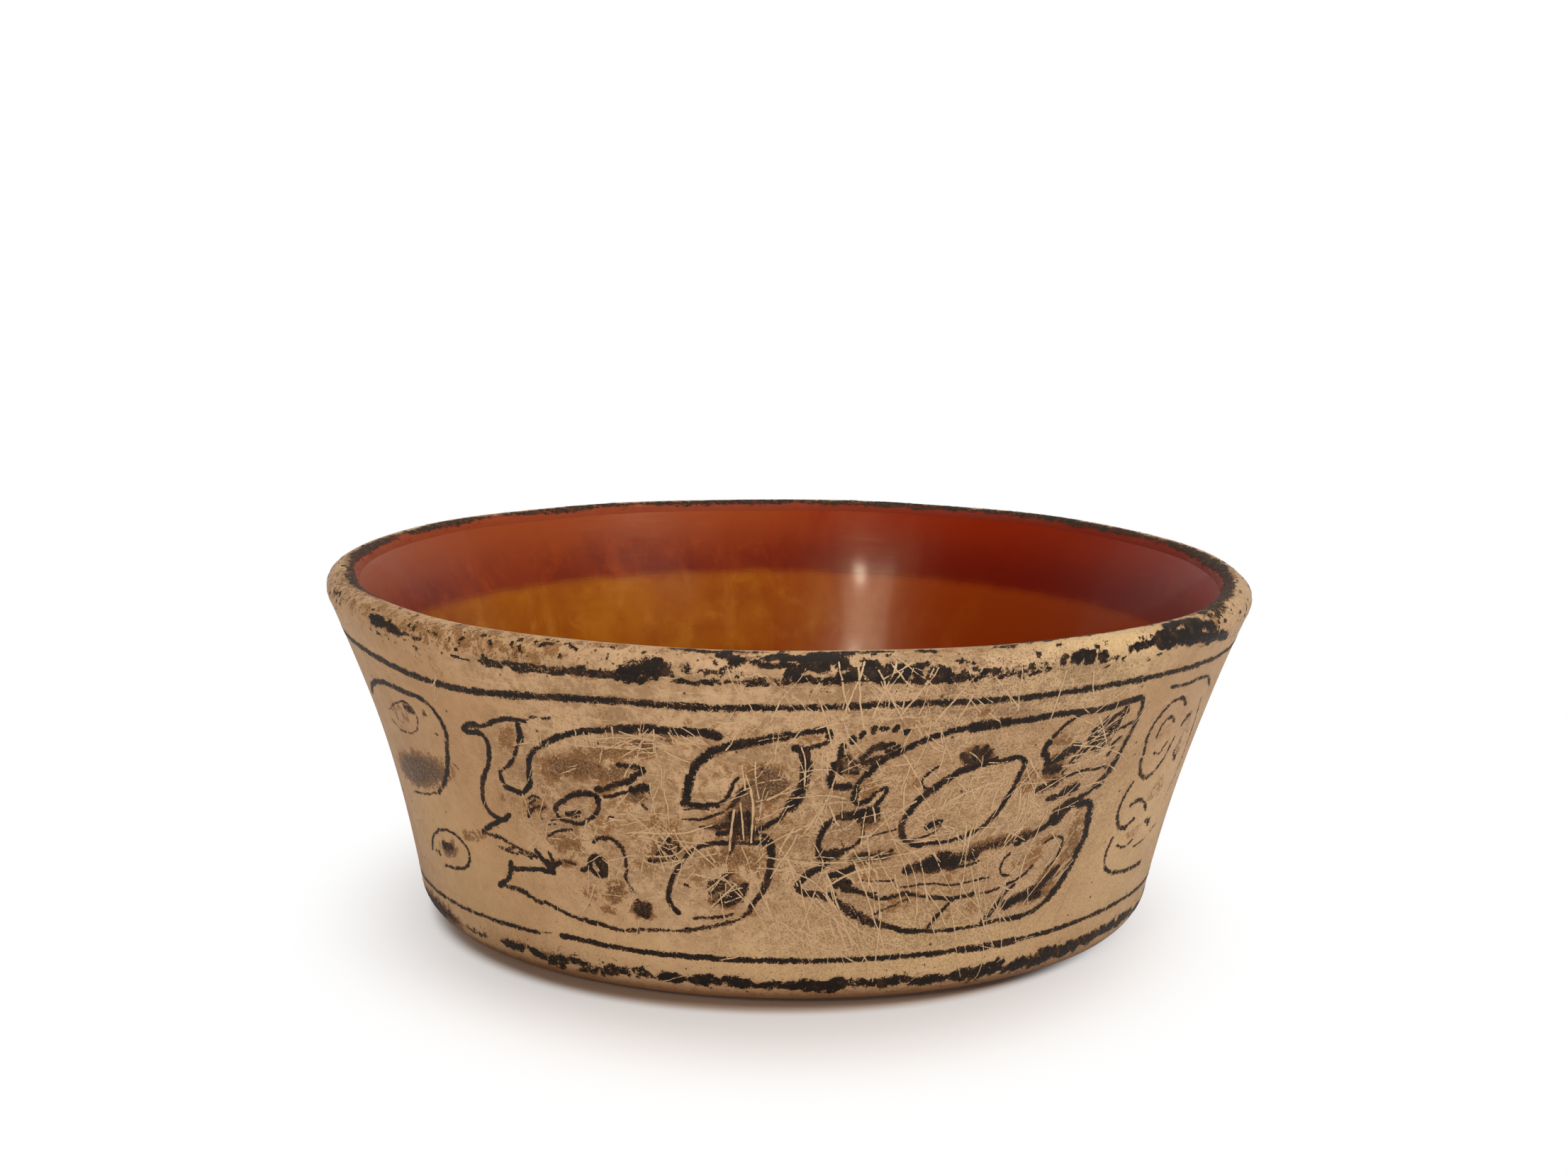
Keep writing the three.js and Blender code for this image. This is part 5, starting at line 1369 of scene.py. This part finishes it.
def clay_body():
    edge, _ = joint(0)
    underside = [(r, 0.0) for r in np.linspace(0, REST_RADIUS - RING_CLEAR, UNDER_RINGS)]
    floor = [(r, FLOOR) for r in np.linspace(FLOOR_RADIUS, 0, FLOOR_RINGS)]
    side = outer_face(0.0, edge, 0, SLAB_EDGE_STEP)
    clay_piece("clay_floor_slab", underside + side + floor, "floor_slab")
    for number in range(1, WALL_COILS + 1):
        (low, inner_low), (high, inner_high) = joint(number - 1), joint(number)
        outside = outer_face(low + GAP, high, 0, CLAY_STEP)
        inside = inner_face(inner_low + GAP, inner_high, 0, CLAY_STEP)
        coil = f"wall_coil_{number}"
        clay_piece(f"clay_{coil}", coat_section(outside, inside), coil)
    low, inner_low = joint(WALL_COILS)
    outside = outer_face(low + GAP, LIP_START_Z - BELOW_LIP, 0, CLAY_STEP)
    outside += lip_face(0, CLAY_LIP)
    inside = inner_face(inner_low + GAP, LIP_INNER_Z - BELOW_LIP, 0, CLAY_STEP)
    clay_piece("clay_rim_coil", coat_section(outside, inside), "rim_coil")


def map_wall(piece, along, up):
    """Gives a piece a map of the unrolled wall, in metres, for patterns that follow it."""
    mesh = piece.data
    corners = np.empty(len(mesh.loops), np.int32)
    mesh.loops.foreach_get("vertex_index", corners)
    starts = np.empty(len(mesh.polygons), np.int32)
    mesh.polygons.foreach_get("loop_start", starts)
    x = along[corners]
    first = np.repeat(x[starts], np.diff(np.append(starts, len(corners))))
    x = x - 2 * HALF_TURN * np.round((x - first) / (2 * HALF_TURN))
    layer = mesh.uv_layers.new(name="unrolled wall")
    places = np.stack([x, up[corners]], -1) * MM
    layer.data.foreach_set("uv", places.ravel().astype(np.float32))


# Spots of wash, of paler slip with painted light, of lip paint and of chips fade between these
# shares of their size.
WASH_FADE, CLEAN_LIT_FADE, LIP_PAINT_FADE, CHIP_FADE = (0.4, 1.5), (0.3, 1.4), (0.75, 1.15), (0.6, 1.3)
# How far washes, stains of the lip, foot paint and lip paint stray from their places
WASH_STRAY, LIP_STAIN_STRAY, FOOT_PAINT_STRAY, LIP_PAINT_STRAY = 0.6, 0.5, 0.9, 0.6
# The red of the inside reaches this far over the lip, and fades and wanders a little there.
RED_REACH, RED_FADE = 9.3, 0.5
RED_WAVES = ((0.35, 9), (0.2, 2.7))
# The coats of the inside lie thicker, and are painted darker as shade, from the first of these
# places to the second, with a ripple's size and reach, and are duller this far to the sides.
THICKER_SHADED_FROM, THICKER_SHADED_TO, THICK_SHADE_RIPPLE, THICK_SHADE_STRAY = -60, 70, 30, 8
DULLER_FROM, DULLER_TO = 40, 80


def mark_coat(piece, points):
    """Marks where a coat lies thicker and is painted darker as shade, away from the hand that held
    the bowl, and where it is dull.
    """
    places = points[:, 0] + THICK_SHADE_STRAY * ripple(points, THICK_SHADE_RIPPLE, 9)
    attribute(piece, "thicker coat and shade", smooth(THICKER_SHADED_FROM, THICKER_SHADED_TO, places))
    attribute(piece, "dull", smooth(DULLER_FROM, DULLER_TO, np.abs(points[:, 0])))


def outer_coat():
    def face(out, step, lip_steps):
        wall = outer_face(SLIP_EDGE, LIP_START_Z - COAT_BELOW_LIP, out, step)
        return wall + lip_face(out, lip_steps)

    front = face(SLIP_FACE, COAT_STEP, COAT_LIP)
    back = face(GAP, COAT_BACK_STEP, COAT_BACK_LIP)
    coat = turned("cream_slip_coat", coat_section(front, back), COAT_STEPS)
    points = reshape(coat)
    along, up = unrolled(points)
    round_lip = round_the_lip(points)
    map_wall(coat, along, up)
    washes = [spot for _, wash, places in FIGURES.values()
              for by in places for spot in shifted(wash, by)]
    stain = spots(*strayed(points, along, up, WASH_STRAY), washes + DIRT, *WASH_FADE)
    lip_places = strayed(points, along, round_lip, LIP_STAIN_STRAY)
    attribute(coat, "stain", np.maximum(stain, spots(*lip_places, LIP_STAIN, *WASH_FADE)))
    attribute(coat, "worn", spots(along, up, WORN))
    attribute(coat, "clean and lit", spots(along, up, CLEAN_AND_LIT, *CLEAN_LIT_FADE))
    wander = sum(amount * np.sin(along / length) for amount, length in RED_WAVES)
    attribute(coat, "red reach", smooth(RED_REACH, RED_REACH + RED_FADE, round_lip + wander))
    mark_coat(coat, points)
    dress(coat, "cream_slip", CREAM_SLIP, "outer_cream_slip")


def inner_coats():
    front, back = (inner_face(RED_FOOT + GAP, LIP_INNER_Z - GAP, out, step)
                   for out, step in ((SLIP_FACE, INNER_STEP), (GAP, INNER_BACK_STEP)))
    red = turned("red_slip_coat", coat_section(front, back), INNER_STEPS)
    mark_coat(red, reshape(red))
    dress(red, "red_slip", RED_SLIP, "inner_red_slip")
    disc = np.linspace(0, FLOOR_RADIUS, COAT_RINGS)[:-1]
    bottom = [(r, FLOOR + GAP) for r in disc]
    bottom += inner_face(FLOOR, RED_FOOT, GAP, INNER_BACK_STEP)
    top = inner_face(FLOOR, RED_FOOT, SLIP_FACE, INNER_STEP)[::-1]
    top += [(r, FLOOR + SLIP_FACE) for r in disc[::-1]]
    orange = turned("orange_slip_coat", bottom + top, INNER_STEPS)
    mark_coat(orange, reshape(orange))
    dress(orange, "orange_slip", ORANGE_SLIP, "inner_orange_slip")


# Scraps of paint: how far round the lip's section they reach, and how they crowd to the outside
FLECKS_REACH, FLECKS_CROWD = 8.6, 1.3
# Where the bands of paint lie: heights, and the two stretches of the lip along the unrolled wall
FOOT_BAND_LOW, FOOT_BAND_HIGH, LIP_BAND_LOW = 2.2, 8.4, 67.2
FRONT, BACK = (-125, 125), (125, 428)


def flecks(count, seed, low, high):
    """Small scraps of paint that still stick to a stretch of the lip."""
    random = np.random.default_rng(seed)
    along = random.uniform(low, high, count)
    up = FLECKS_REACH * random.random(count) ** FLECKS_CROWD
    sizes = [random.uniform(0.25, 0.95, count), random.uniform(0.2, 0.5, count)]
    tilt, strength = random.uniform(-50, 50, count), random.uniform(0.55, 0.95, count)
    return np.stack([along, up, *sizes, tilt, strength], axis=1).tolist()


def black_bands():
    """The two brushed lines, and the worn bands round the foot and the lip."""
    for seed, (side, strokes) in enumerate((("upper", UPPER_LINE), ("lower", LOWER_LINE)), 5):
        line = brushed(f"{side}_line", strokes, PAINT_FILM, seed)
        dress(line, "black_paint", BRUSHED_BLACK, f"{side}_black_line")
    lip_paint = LIP_PAINT + flecks(190, 15, *FRONT) + flecks(250, 16, *BACK)

    def foot_face(out):
        return outer_face(FOOT_BAND_LOW, FOOT_BAND_HIGH, out, FOOT_BAND_STEP)

    def foot_ink(points):
        return spots(*strayed(points, *unrolled(points), FOOT_PAINT_STRAY), FOOT_PAINT)

    def lip_band_face(out):
        below = outer_face(LIP_BAND_LOW, LIP_START_Z - BELOW_LIP, out, LIP_BAND_STEP)
        return below + lip_face(out, BAND_LIP)[:-BAND_SHORT]

    def lip_ink(points):
        places = strayed(points, unrolled(points)[0], round_the_lip(points), LIP_PAINT_STRAY)
        chips = spots(*places, LIP_CHIPS, *CHIP_FADE)
        return spots(*places, lip_paint, *LIP_PAINT_FADE) * (1 - chips)

    foot = film_ring("foot_band", foot_face, FOOT_BAND_STEPS, foot_ink)
    dress(foot, "black_paint", FLAKED_BLACK, "foot_black_band")
    lip = film_ring("lip_band", lip_band_face, LIP_BAND_STEPS, lip_ink)
    dress(lip, "black_paint", FLAKED_BLACK, "lip_black_band")


def figures():
    for seed, (name, (strokes, _, places)) in enumerate(FIGURES.items(), 20):
        for number, by in enumerate(places):
            copy = f"{name}_{number + 1}"
            piece = brushed(copy, strokes, PAINT_FILM, seed + 10 * number, along=by)
            dress(piece, "black_paint", BRUSHED_BLACK)


def rootlet_marks():
    strokes = rootlet_strokes(41) + ROOT_LINES
    marks = brushed("rootlet_marks", strokes, MARK_FILM, 42, spread=0.92, rough=0.3)
    dress(marks, "cream_slip", ROOTLET_MARKS)


clay_body()
outer_coat()
inner_coats()
black_bands()
figures()
rootlet_marks()

# The camera stands where the photograph was taken from, in millimetres, and looks down a little.
CAMERA_PLACE = (-1.1, -591.0, 176.0)
CAMERA_DOWN = math.radians(10.25)
CAMERA_ROLL = math.radians(0.762)
LENS = 63.08
SENSOR = 36.0
NEAREST_SEEN = 0.01


def camera():
    data = bpy.data.cameras.new("camera")
    data.lens, data.sensor_width, data.clip_start = LENS, SENSOR, NEAREST_SEEN
    c, s = math.cos(CAMERA_ROLL), math.sin(CAMERA_ROLL)
    up = Vector((0, math.sin(CAMERA_DOWN), math.cos(CAMERA_DOWN)))
    right = Vector((1, 0, 0))
    back = right.cross(up)
    turn = Matrix((right * c + up * s, up * c - right * s, back)).transposed()
    seat = bpy.data.objects.new("camera", data)
    seat.matrix_world = Matrix.Translation(Vector(CAMERA_PLACE) * MM) @ turn.to_4x4()
    bpy.context.scene.collection.objects.link(seat)
    bpy.context.scene.camera = seat


# Soft boxes: place in metres, width and height, power and colour. Each faces the bowl's middle.
LAMPS = {
    "upper window pane": ((-0.56, -1.2, 0.87), (0.07, 0.07), 1.05, (1, 0.8, 0.58)),
    "lower window pane": ((-0.56, -1.2, 0.60), (0.07, 0.06), 3.7, (1, 0.82, 0.64)),
    "window glow": ((-0.64, -1.24, 0.72), (0.4, 0.36), 2.2, (1, 0.82, 0.6)),
    "side softbox": ((1.3, -1.3, 1.12), (1.0, 0.18), 0.5, (1, 0.93, 0.86)),
    "low front softbox": ((0.5, -1.7, 0.24), (1.9, 0.4), 14.2, (1, 1, 1)),
    "high key": ((1.2, -0.7, 1.95), (1.0, 1.0), 30.0, (1, 0.97, 0.92)),
    "top fill": ((-0.1, 0.2, 1.9), (1.8, 1.8), 26.0, (1, 0.965, 0.91)),
}
LIT_PLACE = Vector((0, 0, 0.05))
ROOM_COLOUR, ROOM_LIGHT = (1, 0.985, 0.96, 1), 0.04


def studio_light():
    world = bpy.data.worlds.new("studio")
    bpy.context.scene.world = world
    world.use_nodes = True
    room = world.node_tree.nodes["Background"]
    room.inputs["Color"].default_value = ROOM_COLOUR
    room.inputs["Strength"].default_value = ROOM_LIGHT
    for name, (place, size, power, colour) in LAMPS.items():
        data = bpy.data.lights.new(name, "AREA")
        data.shape = "RECTANGLE"
        data.size, data.size_y = size
        data.energy, data.color = power, colour
        box = bpy.data.objects.new(name, data)
        box.location = place
        box.rotation_euler = (LIT_PLACE - Vector(place)).to_track_quat("-Z", "Y").to_euler()
        bpy.context.scene.collection.objects.link(box)


def seen_directly(r, mirrored=1.0):
    """1 for a ray from the camera, mirrored for one from a mirror or glass, 0 for mere light."""
    path = r.node("ShaderNodeLightPath").outputs
    bounced = r.maths("MAXIMUM", path["Is Glossy Ray"], path["Is Transmission Ray"])
    return r.maths("MAXIMUM", path["Is Camera Ray"], r.times(bounced, mirrored))


# The studio, in metres: half the floor's side, how far it lies below the bowl, and the curtain's
# radius, its lowest and highest edge, and the heights between which its white fades
FLOOR_HALF = 3.0
FLOOR_DROP = 0.0001
CURTAIN_RADIUS, CURTAIN_LOW, CURTAIN_HIGH = 2.2, 0.5, 2.0
CURTAIN_FADES = (0.3, 1.3)
# The bowl's painted shadow on the floor: its middle, and the distances over which its dark core and
# its pale halo fade. From side to side both are narrower, by one divisor each.
SHADOW_PLACE = (-0.003, -0.0025, 0.0)
SHADOW_CORE, SHADOW_HALO, CORE_SHARE = (0.0755, 0.0808), (0.0808, 0.140), 0.5
CORE_NARROWED, HALO_NARROWED = 1.06, 1.3


def studio_white(name, look):
    """A pale finish of the studio. Its look gives its tone, and how much of it is plain white."""
    material, r, shader = new_material(name, Roughness=0.9, Specular_IOR_Level=0.1)
    tone, share = look(r)
    r.feed(shader["Base Color"], tone)
    white = r.node("ShaderNodeEmission", {"Color": WHITE, "Strength": 1.0}).outputs[0]
    pale = material.node_tree.nodes["Principled BSDF"].outputs[0]
    mix = r.node("ShaderNodeMixShader", {0: share, 1: pale, 2: white})
    r.feed(material.node_tree.nodes["Material Output"].inputs["Surface"], mix.outputs[0])
    return material


def curtain_look(r):
    """Mirrored, the curtain is white only low down."""
    return FLOOR_TONE, seen_directly(r, r.rise(r.height(), *CURTAIN_FADES, 1.0, 0.0))


def floor_look(r):
    """Round the bowl the floor is painted browner and less white: a painted shadow over its real
    one.
    """
    from_bowl = r.vector("SUBTRACT", r.place(), SHADOW_PLACE)[0]
    near, far = (r.vector("LENGTH", r.stretched(from_bowl, width, 1, 1))["Value"]
                 for width in (CORE_NARROWED, HALO_NARROWED))
    # Painted shadow: near the bowl less of the floor is plain white, and it is browner there
    light = r.plus(r.rise(near, *SHADOW_CORE, 0.0, CORE_SHARE),
                   r.rise(far, *SHADOW_HALO, 0.0, 1 - CORE_SHARE))
    tone = r.mixed(r.rise(far, *SHADOW_HALO), FLOOR_PAINTED_SHADOW, FLOOR_TONE)
    return tone, r.times(light, seen_directly(r))


def studio():
    """A floor, and a white curtain round it that is low in front and high behind."""
    deselect()
    bpy.ops.mesh.primitive_plane_add(size=2 * FLOOR_HALF, location=(0, 0, -FLOOR_DROP))
    floor = bpy.context.object
    floor.name = "floor"
    floor.data.materials.append(studio_white("pale floor", floor_look))
    deselect()
    bpy.ops.mesh.primitive_cylinder_add(
        vertices=96, radius=CURTAIN_RADIUS, depth=CURTAIN_LOW, end_fill_type="NOTHING",
        location=(0, 0, CURTAIN_LOW / 2))
    curtain = bpy.context.object
    curtain.name = "curtain"
    for point in curtain.data.vertices:
        if point.co.z > 0:
            behind = float(smooth(0.1, 0.95, point.co.y / CURTAIN_RADIUS))
            point.co.z += (CURTAIN_HIGH - CURTAIN_LOW) * behind
    curtain.data.materials.append(studio_white("white curtain", curtain_look))


camera()
studio()
studio_light()
bpy.context.scene.view_settings.view_transform = "Standard"
